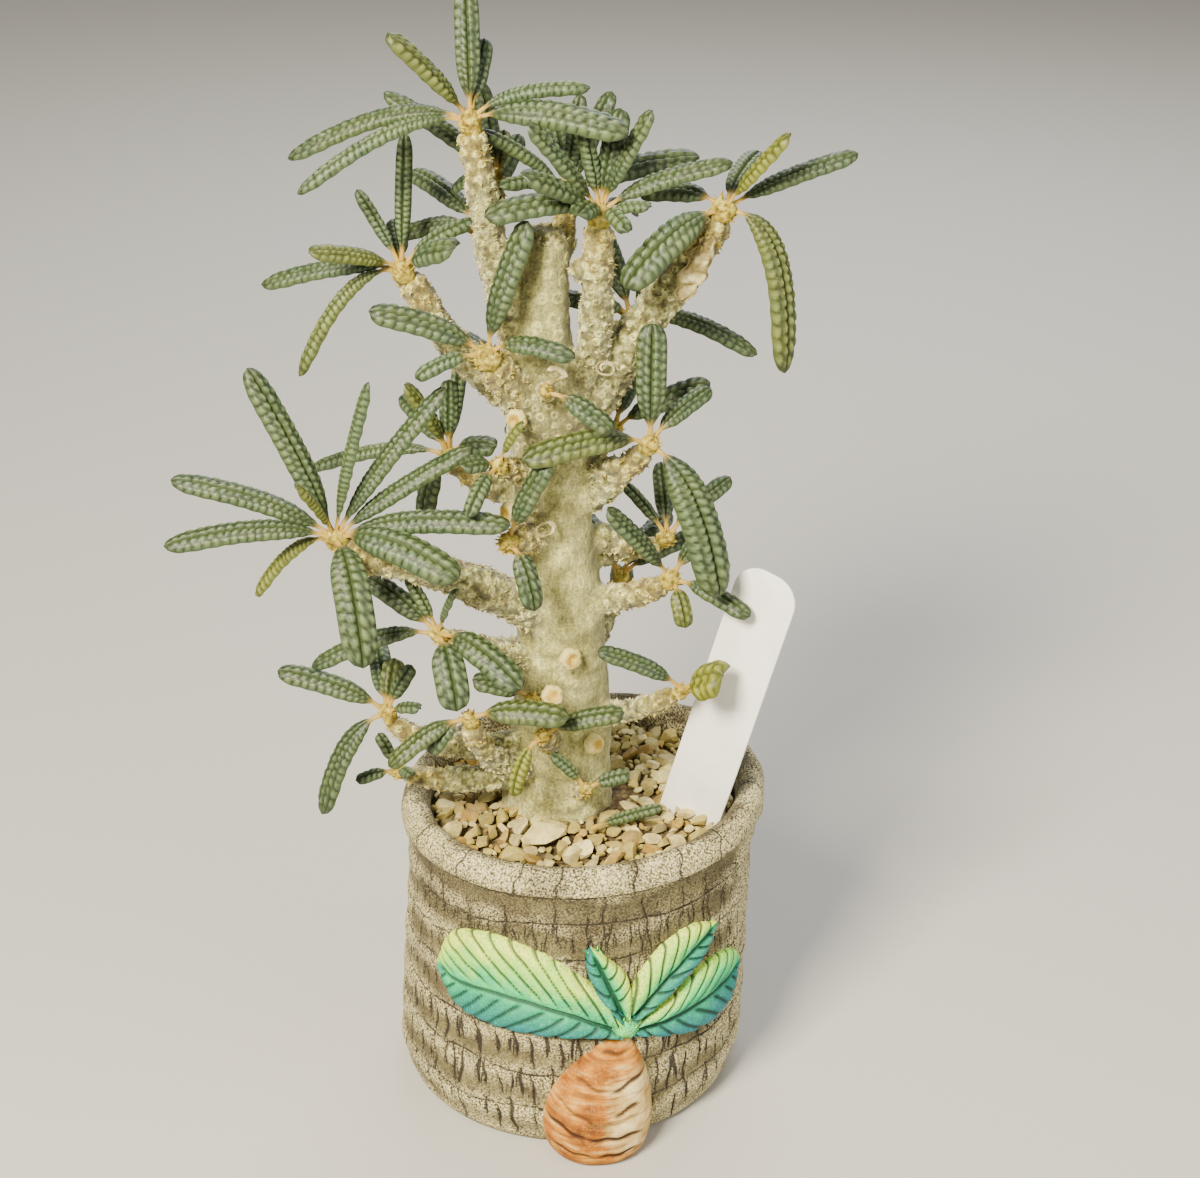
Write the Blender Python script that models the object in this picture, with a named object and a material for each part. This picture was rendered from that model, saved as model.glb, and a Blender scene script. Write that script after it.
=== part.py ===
"""A potted Dorstenia gigas: a swollen stem with leafy branches, in gritty mix, in a bark-textured clay pot.

Metres, +Z up. The origin is the middle of the pot's foot. +X is the viewer's right, -Y faces the viewer.
"""

import math
import random
from typing import NamedTuple

import bmesh
import bpy
from mathutils import Matrix, Vector
from mathutils.bvhtree import BVHTree
from mathutils.geometry import delaunay_2d_cdt

MM = 0.001
GAP = 0.3 * MM
REST_GAP = 0.5 * MM

# The pot: a thrown cylinder that leans a little to the right, with a rolled lip and three drain holes
POT_HEIGHT = 100 * MM
POT_SIDES = 32
POT_BORE = 47 * MM
POT_FLOOR = 8 * MM
FLOOR_ROUND = 3 * MM
LIP_RADIUS = 56 * MM
LIP_CREASE = 92 * MM
LIP_OVERHANG = 1.2 * MM
LIP_ANGLES = (-15, 35, 80, 125, 170)
POT_LEAN = 0.05
POT_RISE_TO_RIGHT = 0.05
POT_PROFILE = [  # radius and height of the outer wall, in mm, from the foot to the lip
    (50.5, 0), (53, 3), (54.5, 10), (54.8, 18), (54.6, 26), (54.4, 34), (54.2, 42), (54, 50), (53.8, 58),
    (53.6, 66), (53.6, 74), (53.8, 83), (53.6, 92),
]
BARK_BOTTOM = 6 * MM
BARK_TOP = 90 * MM
BARK_BAND_DEPTH = 0.7 * MM
BARK_BAND_HEIGHT = 14 * MM
BARK_RIDGE_HEIGHT = 3.2 * MM
DRAIN_RADIUS = 4.5 * MM
DRAIN_OFF_CENTRE = 20 * MM

# The raised bulb on the pot's front: its foot's middle, its top's shift to the right, and its size
BULB_FOOT = Vector((8.8, -50.5, 0)) * MM
BULB_TOP_SHIFT = Vector((6.5, 0, 0)) * MM
BULB_HEIGHT = 41 * MM
BULB_HALF_WIDTH = 16.8 * MM
BULB_DEPTH = 15 * MM
BULB_ROOT = 50 * MM
BULB_SWELL = [  # share of the height, share of the full width, with a groove at every other step
    (0, 0.78), (0.07, 0.92), (0.16, 0.94), (0.26, 1), (0.36, 0.95), (0.47, 0.98), (0.57, 0.87), (0.67, 0.82),
    (0.78, 0.64), (0.88, 0.46), (0.96, 0.26), (1, 0.12),
]
BULB_SIDES = 12
KNOT_RADIUS = 4.5 * MM
KNOT_PLACE = (15.5, 44)  # mm round the pot from its front, and height

# How far the raised leaves stand out of the wall, in mm, from their root inside it to their midrib
LEAF_ROOT = -3
LEAF_EDGE = 0.6
LEAF_SWELL = 3.3
LEAF_MIDRIB = 2.1
LEAF_TIP = -0.4
RELIEF_LEAVES = {  # mm round the pot from its front, and height: midrib, upper edge, lower edge and tip
    "left": (
        [(14.5, 43), (6, 47.5), (-3, 51.5), (-14, 54.5), (-26, 55.5), (-38, 54.5)],
        [(13.5, 47.5), (8, 57), (-3, 67), (-14, 72.5), (-28, 75), (-42, 70)],
        [(13.5, 41), (7, 42), (-4, 42.5), (-14, 43), (-26, 43.5), (-39, 46)],
        (-48.5, 56)),
    "middle": (
        [(15, 46), (12, 54), (9, 61), (6, 68)],
        [(16.5, 47), (16.5, 56), (14.5, 63), (9, 69)],
        [(13.5, 47), (8.5, 53), (4.5, 61), (2.5, 68)],
        (3.5, 74)),
    "upper_right": (
        [(16.5, 47), (23, 54), (30, 60), (38, 65)],
        [(15, 49), (18, 61), (26, 69.5), (36, 72.5)],
        [(18.5, 46), (27, 51), (35, 56.5), (42, 61)],
        (47.5, 68.5)),
    "lower_right": (
        [(16.5, 43.5), (28, 43), (41, 44), (55, 45)],
        [(18, 45.5), (30, 50), (42, 56), (56, 54)],
        [(18, 41), (28, 37.5), (41, 34), (56, 35)],
        (66, 45)),
}

# The gritty mix that fills the pot, with a mound of stones at its top
GRIT_EDGE = 92.5 * MM
GRIT_MOUND = 4 * MM
STONE_SIDES = 5
STONE_RADII = (2.8 * MM, 4.8 * MM)
STONE_TRIES = 5000
GROUND_TRIES = 2500
GROUND_SPACING = 2.7 * MM

# The swollen stem: height, middle and radius of its rounds, in mm, from its foot in the mix
STEM_SIDES = 15
STEM = [
    (64, -2, 0, 11), (78, -2, 0, 15), (90, -2.5, 0, 17.5), (96, -2.8, 0, 16.8), (104, -2.4, 0, 15.8),
    (114, -2, 0, 15.2), (124, -1.9, 0, 14.5), (134, -1.7, 0, 13.8), (147, -1.4, 0, 13.1), (160, -1.2, 0, 12.4),
    (174, -2.4, 0, 11.3), (186, -3.4, 0, 10.8), (199, -3.8, 0, 10.8), (211, -3.4, 0, 12.3),
    (223, -3.5, 0, 13.2), (231, -4.4, 0, 11.9), (239, -6.5, 0, 9.2), (248, -7.2, 0, 8.2), (257, -6.4, 0, 7.9), (266, -5.2, 0, 7.2),
    (272, -5.1, 0, 6.2), (275, -5, 0, 4.2),
]
STEM_RELIEF = 0.7 * MM
STEM_RING_STEP = 9  # mm of height, past which the table gets a round between two rows
STEM_HOLE_TOP = 112  # mm, clear of the stones

# A branch: its round has few sides, and a ring of leaf scars every few millimetres
BRANCH_SIDES = 6
SCAR_SPACING = 9 * MM
SCAR_DEPTH = 0.06

# A leaf: a ring of five points at each station, from a thin root to a blade with a sunken midrib
STALK_LENGTH = 3.5 * MM
STALK_SHARE = 0.22
STALK_RADIUS = 0.9 * MM
ROOT_OFFSET = 0.4
HEART_DEPTH = 0.45
CROWN_TAPER = 0.62
BLADE_ARCH = 0.36
BLADE_CREST = 0.22
BLADE_MIDRIB = 0.12
BLADE_EDGE = -0.24
LIGHT = Vector((0, -0.85, 0.5))
BLADE_OUTLINE = [(0.15, 0.84), (0.52, 1), (0.9, 0.82)]  # share of the blade's length, share of its width

# The plant label, pushed into the mix beside the stem
LABEL_WIDTH = 20 * MM
LABEL_ABOVE = 84 * MM
LABEL_BELOW = 15 * MM
LABEL_THICKNESS = 0.9 * MM
LABEL_CORNER = 8 * MM
LABEL_POINT = 3 * MM
LABEL_FOOT = Vector((37.5, -13.5, 96)) * MM
LABEL_TURN = -30
LABEL_LEAN_RIGHT = 14
LABEL_LEAN_BACK = 6


class Leaf(NamedTuple):
    """Where a leaf points from its crown to its tip, in degrees, and its size, in mm.

    bearing is 0 to the right and 90 away from the viewer, and climb is above level. lift is how far above
    its own chord the leaf starts out. roll turns the blade about its length, and a leaf without it turns
    its upper face to the light.
    """

    bearing: float
    climb: float
    reach: float
    width: float
    lift: float = 15
    roll: float | None = None


class Shoot(NamedTuple):
    """A branch and its rosette: the branch's route and radii in mm, and the leaves at its end."""

    name: str
    route: list
    radii: tuple
    leaves: list
    crown: float = 6


SHOOTS = [
    Shoot("top_left", [(-8, 0, 228), (-14, -2, 246), (-19, -4, 268), (-22, -4, 288), (-25, -4, 308)], (6, 4), [
        (95, 73, 34, 7, 6), (-150, 48, 33, 8, 10, -25), (165, 44, 30, 6, 12), (176, -14, 50, 6, 38),
        (-171, -22, 49, 5, 36), (4, 13, 32, 5, 35), (-12, -2, 42, 9, 28), (75, 52, 22, 6, 12),
    ]),
    Shoot("top_left_side", [(-20, -1, 276), (-19, 4, 280), (-18, 9, 287)], (3.2, 2.4), [
        (171, 36, 38, 6, 18), (125, 72, 26, 6, 10), (136, -21, 19, 6, 35), (80, 50, 14, 4.5, 12),
    ], 4),
    Shoot("top_back", [(-4, 4, 260), (0, 9, 270), (1, 11, 282)], (4, 3), [
        (-160, 40, 31, 5, 20), (-140, 16, 24, 5, 40), (49, 78, 27, 5, 6), (34, 61, 30, 6, 10),
        (14, 12, 38, 8, 25), (100, 35, 32, 7, 20),
    ], 4),
    Shoot("top_middle", [(2, -2, 226), (8, -4, 240), (9, -6, 258), (10, -6, 283)], (5.5, 4), [
        (-154, 52, 33, 7, 10), (-140, 30, 29, 8, 15), (-163, 2, 31, 8, 35), (44, 74, 27, 7, 5),
        (-13, 64, 31, 6, 8), (150, 78, 22, 5, 5), (3, 20, 37, 6, 22), (-30, 15, 15, 4, 12),
        (62, -20, 22, 4, 45), (-60, -8, 14, 5, 45), (-112, 12, 15, 7, 35),
    ]),
    Shoot("right_arm", [(2, 0, 219), (12, 1, 230), (21, 2, 245), (33, 2, 262), (45, 0, 282)], (7.5, 4.5), [
        (-31, 51, 29, 7, 6, 25), (10, 20, 38, 6, 12), (-16, -70, 49, 8.5, 70), (-147, -28, 35, 10, 32),
        (156, 2, 24, 7, 35), (70, 10, 33, 7, 25),
    ]),
    Shoot("left_upper", [(-8, 4, 222), (-18, 6, 226), (-31, 8, 237), (-39, 7, 250), (-46, 4, 263)], (6.5, 4), [
        (171, -10, 40, 6, 22), (-150, 19, 28, 6, 18, -30), (-174, -47, 42, 5, 55), (145, 53, 24, 4, 8),
        (84, 72, 36, 5, 8), (-40, 27, 22, 9, 22), (28, 24, 24, 5, 30), (100, 25, 19, 6, 12),
    ]),
    Shoot("front_stub", [(-8, -2, 222), (-15, -9, 232), (-22, -17, 245)], (7.5, 5), [
        (-176, 23, 33, 8, 25), (-164, -14, 19, 5, 35), (14, 72, 38, 8, 12), (-15, 2, 24, 6, 50),
    ]),
    Shoot("front_bud", [(-5, -8, 230), (-5, -20, 235)], (3, 2.4), [(-19, -26, 21, 6.5, 22)], 3.5),
    Shoot("left_inner", [(-8, -4, 202), (-15, -12, 208), (-19, -18, 212)], (4.2, 3.2), [
        (-33, 60, 16, 4, 15), (-140, 14, 13, 6, 20), (-120, -31, 18, 5, 35),
    ], 4),
    Shoot("left_back", [(-8, 3, 192), (-20, 8, 193), (-30, 10, 197), (-35, 10, 204)], (4.5, 3.4), [
        (-158, 62, 26, 6, 15), (86, 76, 21, 6, 10), (-20, 16, 15, 7, 35), (68, 68, 31, 5, 8),
        (167, -12, 43, 5, 28), (-150, -66, 19, 7, 40), (120, 15, 30, 7, 20),
    ], 5),
    Shoot("left_arm", [
        (-6, -4, 158), (-22, -13, 170), (-38, -19, 180), (-54, -23, 185), (-66, -24, 193),
    ], (7.5, 4), [
        (156, 62, 52, 8, 8), (-12, 76, 48, 5, 6), (15, 52, 52, 6, 10), (10, 32, 45, 6, 12),
        (-6, 7, 49, 7.5, 22), (-24, -8, 38, 10.5, 35), (-68, -55, 37, 11, 64), (177, 20, 47, 7, 22),
        (-170, 1, 46, 7, 26), (-128, 56, 24, 5, 12), (162, -42, 33, 5, 40),
    ]),
    Shoot("front_knob", [(-6, -6, 186), (-12, -16, 188), (-17, -23, 190)], (5, 3.6), [
        (8, 64, 26, 7, 12), (-52, -56, 20, 7, 55),
    ], 4),
    Shoot("left_low", [(-6, -3, 143), (-16, -10, 148), (-28, -17, 154), (-38, -20, 160)], (5, 3.2), [
        (-34, -18, 30, 9, 38), (178, -18, 38, 6, 32), (-70, -46, 23, 10, 54), (157, 32, 25, 7, 15),
        (150, 58, 18, 4, 12), (-50, 62, 19, 5, 10),
    ], 5),
    Shoot("left_lower", [
        (-8, -5, 115), (-22, -13, 118), (-38, -20, 123), (-49, -22, 129), (-53, -22, 136),
    ], (5, 3), [
        (174, 20, 33, 7, 22), (-165, -58, 37, 7, 45), (-35, 22, 13, 4, 20), (25, 58, 15, 5, 12),
        (77, 54, 15, 7, 12), (100, 18, 28, 7, 22),
    ], 5),
    Shoot("left_rim", [(-8, -6, 108), (-18, -20, 115), (-25, -29, 128), (-28, -33, 140)], (4.5, 3), [
        (-164, -28, 26, 6, 32), (-170, -44, 15, 6, 45), (-7, 4, 28, 8, 25),
    ], 5),
    Shoot("front_low", [(-3, -8, 118), (-5, -20, 124), (-7, -29, 131)], (4, 2.8), [
        (3, 16, 24, 6.5, 25), (-145, -60, 19, 5, 45),
    ], 4),
    Shoot("front_middle", [(-2, -8, 130), (-6, -20, 137), (-10, -29, 143)], (3.6, 2.6), [
        (-172, 24, 18, 6.5, 22),
    ], 4),
    Shoot("grit_arm", [
        (-6, -3, 106), (-20, -9, 105.5), (-34, -12, 106), (-45, -12, 107), (-52, -12, 109),
    ], (6, 2.8), [
        (-66, 22, 12, 4, 20), (142, 54, 12, 4, 12), (-170, -10, 12, 4, 22),
    ], 4),
    Shoot("base_sprout", [(2, -8, 103), (5, -19, 106), (6, -26, 111)], (3.6, 2.4), [
        (178, 49, 15, 4, 15), (12, 14, 13, 5, 20),
    ], 3.5),
    Shoot("right_middle", [(4, -3, 193), (13, -8, 202), (20, -11, 210), (25, -12, 217)], (4.6, 3.4), [
        (86, 80, 33, 9, 8), (-164, -2, 36, 8.5, 28), (-32, -62, 47, 12, 40), (40, 25, 24, 6, 22),
    ], 5),
    Shoot("right_bud", [(4, 4, 203), (11, 8, 208), (15, 10, 212)], (4.2, 3), [
        (4, 26, 30, 7.5, 20), (70, 30, 24, 6, 20),
    ], 4),
    Shoot("right_low", [(5, -1, 161), (14, -4, 163), (24, -7, 167), (32, -8, 172)], (4.8, 3.6), [
        (-160, 52, 31, 7, 10), (-28, -14, 25, 6, 22), (-66, -50, 14, 6, 40), (55, 18, 25, 6, 22),
    ], 5),
    Shoot("right_back", [(4, 4, 172), (14, 7, 173), (24, 7, 174), (31, 7, 178)], (4.2, 3), [
        (150, 44, 20, 4, 15), (35, 30, 26, 6, 20), (95, 40, 24, 6, 18),
    ], 5),
    Shoot("right_base", [(5, -2, 122), (14, -5, 125), (25, -13, 132), (35, -19, 141)], (4, 2.8), [
        (-173, 30, 28, 6, 22), (-52, 34, 17, 12, 20),
    ], 5),
    Shoot("back_right", [(2, 4, 214), (8, 13, 224), (15, 22, 234), (20, 27, 240)], (5.5, 3.6), [
        (-6, -16, 37, 6, 40), (-165, 22, 14, 5, 35), (60, 28, 34, 7, 22), (118, 48, 31, 7, 12),
        (20, 55, 26, 6, 10), (165, 8, 28, 6, 24),
    ], 5),
    Shoot("back_left", [(-12, 2, 240), (-19, 12, 256), (-25, 20, 270)], (4.4, 3.2), [
        (170, -10, 22, 6, 30), (128, 14, 33, 7, 24), (62, 40, 31, 7, 14), (90, 70, 26, 6, 8),
    ], 5),
    Shoot("back_arm", [(-2, 4, 172), (-4, 18, 182), (-6, 34, 192), (-7, 46, 204)], (6.5, 3.8), [
        (90, 15, 38, 8, 26), (38, 22, 40, 7, 22), (142, 24, 39, 7, 22), (178, 35, 30, 6, 16),
        (5, 40, 31, 6, 14), (72, 66, 33, 7, 8), (-62, 70, 26, 6, 8), (112, -35, 36, 9, 45),
    ]),
    Shoot("back_low", [(1, 5, 128), (6, 18, 134), (13, 32, 141), (17, 40, 150)], (5, 3.2), [
        (62, 12, 34, 7, 26), (12, 25, 30, 6, 20), (118, 20, 31, 7, 22), (160, 42, 24, 6, 14),
        (-30, 58, 22, 5, 10), (88, -38, 30, 8, 42),
    ], 5),
]

# Old wood that has lost its leaves: route and radii, in mm
STUBS = [
    ([(4, 1, 179), (12, 3, 179.5), (19, 4, 175)], (5.4, 3.2)),
    ([(4, -3, 205), (12, -10, 208), (15, -13, 210)], (4, 2.4)),
    ([(-6, -4, 196), (-11, -13, 198)], (4.5, 3.2)),
    ([(8, -4, 262), (3, -9, 267)], (3.2, 2.6)),
    ([(0, 6, 152), (2, 16, 156), (3, 22, 161)], (4.8, 3)),
]

# Flat flower heads on short stalks: where each one faces in, in mm, which way it faces, and its radius
FLOWER_HEADS = [
    ((-19, -30, 226), (-0.35, -0.9, 0.1), 2.8),
    ((-26, -26, 199), (-0.6, -0.7, 0.2), 2.8),
    ((6, -30, 153), (0.3, -0.9, 0.25), 3.2),
    ((-3, -34, 146), (0.1, -0.9, 0.4), 3),
    ((19, -28, 124), (0.6, -0.75, 0.25), 3),
    ((24, 26, 196), (0.6, 0.75, 0.2), 3),
]
HEAD_STALK = 1.3 * MM
HEAD_RINGS = [(0, 0), (1.4, 0), (2.4, 1), (4, 0.9)]  # rise in mm, and share of the way from stalk to rim

# The papery dead leaf on the right arm: height, place, half width in mm, and turn in degrees
DRY_LEAF = [
    (274, 40, -8.6, 1.6, -20), (271, 39, -9.6, 3, -35), (266, 37, -10.6, 4, -30), (261, 34.5, -10.8, 3.6, -15),
    (256, 32.5, -10.4, 1.4, 0),
]
DRY_LEAF_HALF_THICK = 0.5 * MM
DRY_LEAF_CURL = 0.6 * MM

# The leaf that has dropped onto the stones
FALLEN_LEAF = Leaf(24, 4, 21, 5.5, 8)
FALLEN_LEAF_FOOT = Vector((11, -26, 103)) * MM


def clear_scene():
    for old in list(bpy.data.objects):
        bpy.data.objects.remove(old, do_unlink=True)


def material(name, colour, roughness, metallic=0.0):
    made = bpy.data.materials.new(name)
    made.use_nodes = True
    shader = made.node_tree.nodes["Principled BSDF"]
    shader.inputs["Base Color"].default_value = (*colour, 1)
    shader.inputs["Roughness"].default_value = roughness
    shader.inputs["Metallic"].default_value = metallic
    return made


def new_object(name, bm, finish):
    """The bmesh as an object in the scene, with its faces pointing out."""
    bmesh.ops.recalc_face_normals(bm, faces=bm.faces)
    mesh = bpy.data.meshes.new(name)
    bm.to_mesh(mesh)
    bm.free()
    mesh.materials.append(finish)
    made = bpy.data.objects.new(name, mesh)
    bpy.context.scene.collection.objects.link(made)
    return made


def loft(name, rings, finish, tip=None):
    """A closed skin over rings of points; its far end is a flat cap or runs out to the tip."""
    bm = bmesh.new()
    loops = [[bm.verts.new(point) for point in ring] for ring in rings]
    count = len(loops[0])
    for near, far in zip(loops, loops[1:]):
        for i in range(count):
            j = (i + 1) % count
            bm.faces.new((near[i], near[j], far[j], far[i]))
    bm.faces.new(loops[0][::-1])
    if tip is None:
        bm.faces.new(loops[-1])
    else:
        end = bm.verts.new(tip)
        for i in range(count):
            bm.faces.new((loops[-1][i], loops[-1][(i + 1) % count], end))
    bmesh.ops.triangulate(bm, faces=bm.faces)
    return new_object(name, bm, finish)


def combine(body, others, operation, solver="EXACT"):
    """One Boolean of all the other objects on the body, applied, with the others then removed."""
    gathered = bpy.data.collections.new(body.name + "_pieces")
    for other in others:
        for holder in list(other.users_collection):
            holder.objects.unlink(other)
        gathered.objects.link(other)
    bpy.context.scene.collection.children.link(gathered)
    step = body.modifiers.new("Combine", "BOOLEAN")
    step.operation = operation
    step.solver = solver
    step.operand_type = "COLLECTION"
    step.collection = gathered
    with bpy.context.temp_override(object=body, active_object=body):
        bpy.ops.object.modifier_apply(modifier=step.name)
    for other in others:
        bpy.data.objects.remove(other, do_unlink=True)
    bpy.data.collections.remove(gathered)
    return body


def smooth_shade(piece, degrees=50):
    piece.data.shade_smooth()
    piece.data.set_sharp_from_angle(angle=math.radians(degrees))


def interpolate(table, key):
    """The other columns of a table at a value of its first one, on straight lines between the rows."""
    key = min(max(key, table[0][0]), table[-1][0])
    for low, high in zip(table, table[1:]):
        if key <= high[0]:
            share = (key - low[0]) / (high[0] - low[0])
            return [a + share * (b - a) for a, b in zip(low[1:], high[1:])]
    return list(table[-1][1:])


# The pot

OUTER_RADIUS = [(height * MM, radius * MM) for radius, height in POT_PROFILE]


def pot_point(around, height, radius):
    """A point of the pot at an angle from the front, with the pot's lean and its higher right side."""
    x = radius * math.sin(around)
    y = -radius * math.cos(around)
    share = height / POT_HEIGHT
    return Vector((x + POT_LEAN * height, y, height + POT_RISE_TO_RIGHT * x * share))


def bark_depth(around, height):
    """The pot's wavy bands of bark, as a depth below the wall's outer radius."""
    if height < BARK_BOTTOM or height > BARK_TOP:
        return 0.0
    wave = 2.4 * MM * math.sin(3 * around + 0.7) + 1.3 * MM * math.sin(7 * around)
    band = math.sin(2 * math.pi * (height + wave) / BARK_BAND_HEIGHT)
    ridge = math.sin(11 * around + height / BARK_RIDGE_HEIGHT)
    return BARK_BAND_DEPTH * (0.5 + 0.35 * band + 0.15 * ridge)


def pot_shell(clay):
    rings = []
    angles = [2 * math.pi * i / POT_SIDES for i in range(POT_SIDES)]
    for height, radius in OUTER_RADIUS:
        rings.append([pot_point(a, height, radius - bark_depth(a, height)) for a in angles])
    lip_half_width = (LIP_RADIUS - POT_BORE) / 2
    lip_middle = POT_BORE + lip_half_width
    lip_foot = LIP_CREASE + LIP_OVERHANG
    for degrees in LIP_ANGLES:
        out = lip_half_width * math.cos(math.radians(degrees))
        up = lip_foot + (POT_HEIGHT - lip_foot) * max(math.sin(math.radians(degrees)), -0.1)
        rings.append([pot_point(a, up, lip_middle + out) for a in angles])
    rings.append([pot_point(a, POT_FLOOR + FLOOR_ROUND, POT_BORE) for a in angles])
    rings.append([pot_point(a, POT_FLOOR, POT_BORE - FLOOR_ROUND) for a in angles])
    return loft("pot", rings, clay)


def relief_point(across, height, proud):
    """A point of the raised ornament, from millimetres round the front of the pot and up it."""
    radius = interpolate(OUTER_RADIUS, height * MM)[0]
    return pot_point(across * MM / radius, height * MM, radius + proud * MM)


def relief_leaf(name, midrib, upper, lower, tip, clay):
    """A raised clay leaf: its midrib is a groove between two swellings that fall to its edges."""
    rings = []
    for (x, z), high, low in zip(midrib, upper, lower):
        half_up = ((x + high[0]) / 2, (z + high[1]) / 2)
        half_down = ((x + low[0]) / 2, (z + low[1]) / 2)
        rings.append([
            relief_point(*high, LEAF_ROOT), relief_point(*high, LEAF_EDGE), relief_point(*half_up, LEAF_SWELL),
            relief_point(x, z, LEAF_MIDRIB),
            relief_point(*half_down, LEAF_SWELL), relief_point(*low, LEAF_EDGE), relief_point(*low, LEAF_ROOT),
        ])
    return loft(name, rings, clay, relief_point(*tip, LEAF_TIP))


def relief_bulb(clay):
    """The round bulb at the foot of the ornament, ringed with grooves, flat underneath and behind."""
    rings = []
    for share, swell in BULB_SWELL:
        middle = BULB_FOOT + share ** 3 * BULB_TOP_SHIFT
        height = BULB_HEIGHT * share
        ring = []
        for i in range(BULB_SIDES):
            a = 2 * math.pi * i / BULB_SIDES
            x = middle.x + BULB_HALF_WIDTH * swell * math.cos(a)
            y = middle.y + BULB_DEPTH * swell * math.sin(a)
            behind = -math.sqrt(max(BULB_ROOT ** 2 - (x - POT_LEAN * height) ** 2, 0))
            ring.append(Vector((x, min(y, behind), height)))
        rings.append(ring)
    return loft("relief_bulb", rings, clay)


def relief_knot():
    """The clay knot where the raised leaves meet above the bulb."""
    middle = relief_point(*KNOT_PLACE, -1)
    bpy.ops.mesh.primitive_ico_sphere_add(subdivisions=1, radius=KNOT_RADIUS, location=middle)
    return bpy.context.object


def build_pot(clay):
    pot = pot_shell(clay)
    ornament = [relief_bulb(clay), relief_knot()]
    for side, shape in RELIEF_LEAVES.items():
        ornament.append(relief_leaf("relief_" + side, *shape, clay))
    combine(pot, ornament, "UNION", "MANIFOLD")
    drains = []
    for third in range(3):
        a = 2 * math.pi * third / 3 + math.pi / 2
        bpy.ops.mesh.primitive_cylinder_add(
            vertices=16, radius=DRAIN_RADIUS, depth=4 * POT_FLOOR,
            location=(DRAIN_OFF_CENTRE * math.cos(a), DRAIN_OFF_CENTRE * math.sin(a), POT_FLOOR / 2))
        drains.append(bpy.context.object)
    combine(pot, drains, "DIFFERENCE", "MANIFOLD")
    smooth_shade(pot, 35)
    return pot


# The gritty mix

def grit_level(x, y):
    """The height of the mix before its stones: a low mound round the stem."""
    share = min(1.0, math.hypot(x, y) / POT_BORE)
    return GRIT_EDGE + GRIT_MOUND * (1 - share)


def scatter_stones(rng):
    """Stones by dart throwing, the largest first: each a middle and a radius."""
    stones = []
    most = POT_BORE - 1.5 * MM
    for attempt in range(STONE_TRIES):
        radius = STONE_RADII[1] + (STONE_RADII[0] - STONE_RADII[1]) * attempt / STONE_TRIES
        x = rng.uniform(-most, most)
        y = rng.uniform(-most, most)
        if math.hypot(x, y) > most - radius:
            continue
        if all(math.hypot(x - a, y - b) > 0.96 * (radius + c) for a, b, c in stones):
            stones.append((x, y, radius))
    return stones


def grit_top(rng):
    """Points and heights of the stony surface: a raised face on each stone, with low ground between."""
    points = []
    for x, y, radius in scatter_stones(rng):
        level = grit_level(x, y)
        turn = rng.uniform(0, math.pi)
        tilt = rng.uniform(-0.25, 0.25)
        points.append((x, y, level + rng.uniform(0.5, 0.75) * radius))
        for i in range(STONE_SIDES):
            a = turn + 2 * math.pi * i / STONE_SIDES
            out = radius * rng.uniform(0.58, 0.72)
            high = radius * (0.42 + tilt * math.cos(a))
            points.append((x + out * math.cos(a), y + out * math.sin(a), level + high))
    for _ in range(GROUND_TRIES):
        a = rng.uniform(0, 2 * math.pi)
        out = (POT_BORE - 2.5 * MM) * math.sqrt(rng.random())
        x = out * math.cos(a)
        y = out * math.sin(a)
        if all(math.hypot(x - p[0], y - p[1]) > GROUND_SPACING for p in points):
            points.append((x, y, grit_level(x, y) - rng.uniform(0.2, 0.9) * MM))
    return points


def build_grit(mix, stem_plug, label_plug):
    radius = POT_BORE - GAP / math.cos(math.pi / POT_SIDES)
    top = grit_top(random.Random(7))
    flat = [Vector((x, y)) for x, y, _ in top]
    angles = [2 * math.pi * i / POT_SIDES for i in range(POT_SIDES)]
    rim = [Vector((radius * math.sin(a), -radius * math.cos(a))) for a in angles]
    loop = list(range(len(flat), len(flat) + POT_SIDES))
    outline = [(loop[i], loop[(i + 1) % POT_SIDES]) for i in range(POT_SIDES)]
    corners, _, faces, origins, _, _ = delaunay_2d_cdt(flat + rim, outline, [], 1, 1e-7)
    heights = [z for _, _, z in top] + [GRIT_EDGE] * POT_SIDES
    bm = bmesh.new()
    verts = []
    for corner, origin in zip(corners, origins):
        height = heights[origin[0]]
        shift = POT_LEAN * height
        verts.append(bm.verts.new((corner.x + shift, corner.y, height)))
    for face in faces:
        bm.faces.new([verts[i] for i in face])
    border = [e for e in bm.edges if e.is_boundary]
    for vert in {v for e in border for v in e.verts}:
        a = math.atan2(vert.co.x - POT_LEAN * GRIT_EDGE, -vert.co.y)
        vert.co = pot_point(a, GRIT_EDGE, radius)
    for height, pull_in in ((POT_FLOOR + FLOOR_ROUND, 0.0), (POT_FLOOR + GAP, FLOOR_ROUND)):
        grown = bmesh.ops.extrude_edge_only(bm, edges=border)["geom"]
        for vert in {v for v in grown if isinstance(v, bmesh.types.BMVert)}:
            a = math.atan2(vert.co.x - POT_LEAN * vert.co.z, -vert.co.y)
            vert.co = pot_point(a, height, radius - pull_in)
        border = [e for e in bm.edges if e.is_boundary]
    bmesh.ops.contextual_create(bm, geom=border)
    bmesh.ops.triangulate(bm, faces=bm.faces)
    grit = new_object("grit", bm, mix)
    combine(grit, [stem_plug, label_plug], "DIFFERENCE")
    smooth_shade(grit, 25)
    return grit


# The stem, its branches and its old stubs

def stem_knobs(around, height):
    """Low lumps all over the stem, where old leaves and branches were."""
    h = height / MM
    slow = 0.55 * math.sin(3 * around + 0.11 * h + 0.4)
    quick = 0.75 * math.sin(5 * around - 0.37 * h) * math.sin(0.29 * h + 1.1)
    return STEM_RELIEF * (slow + quick)


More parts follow.
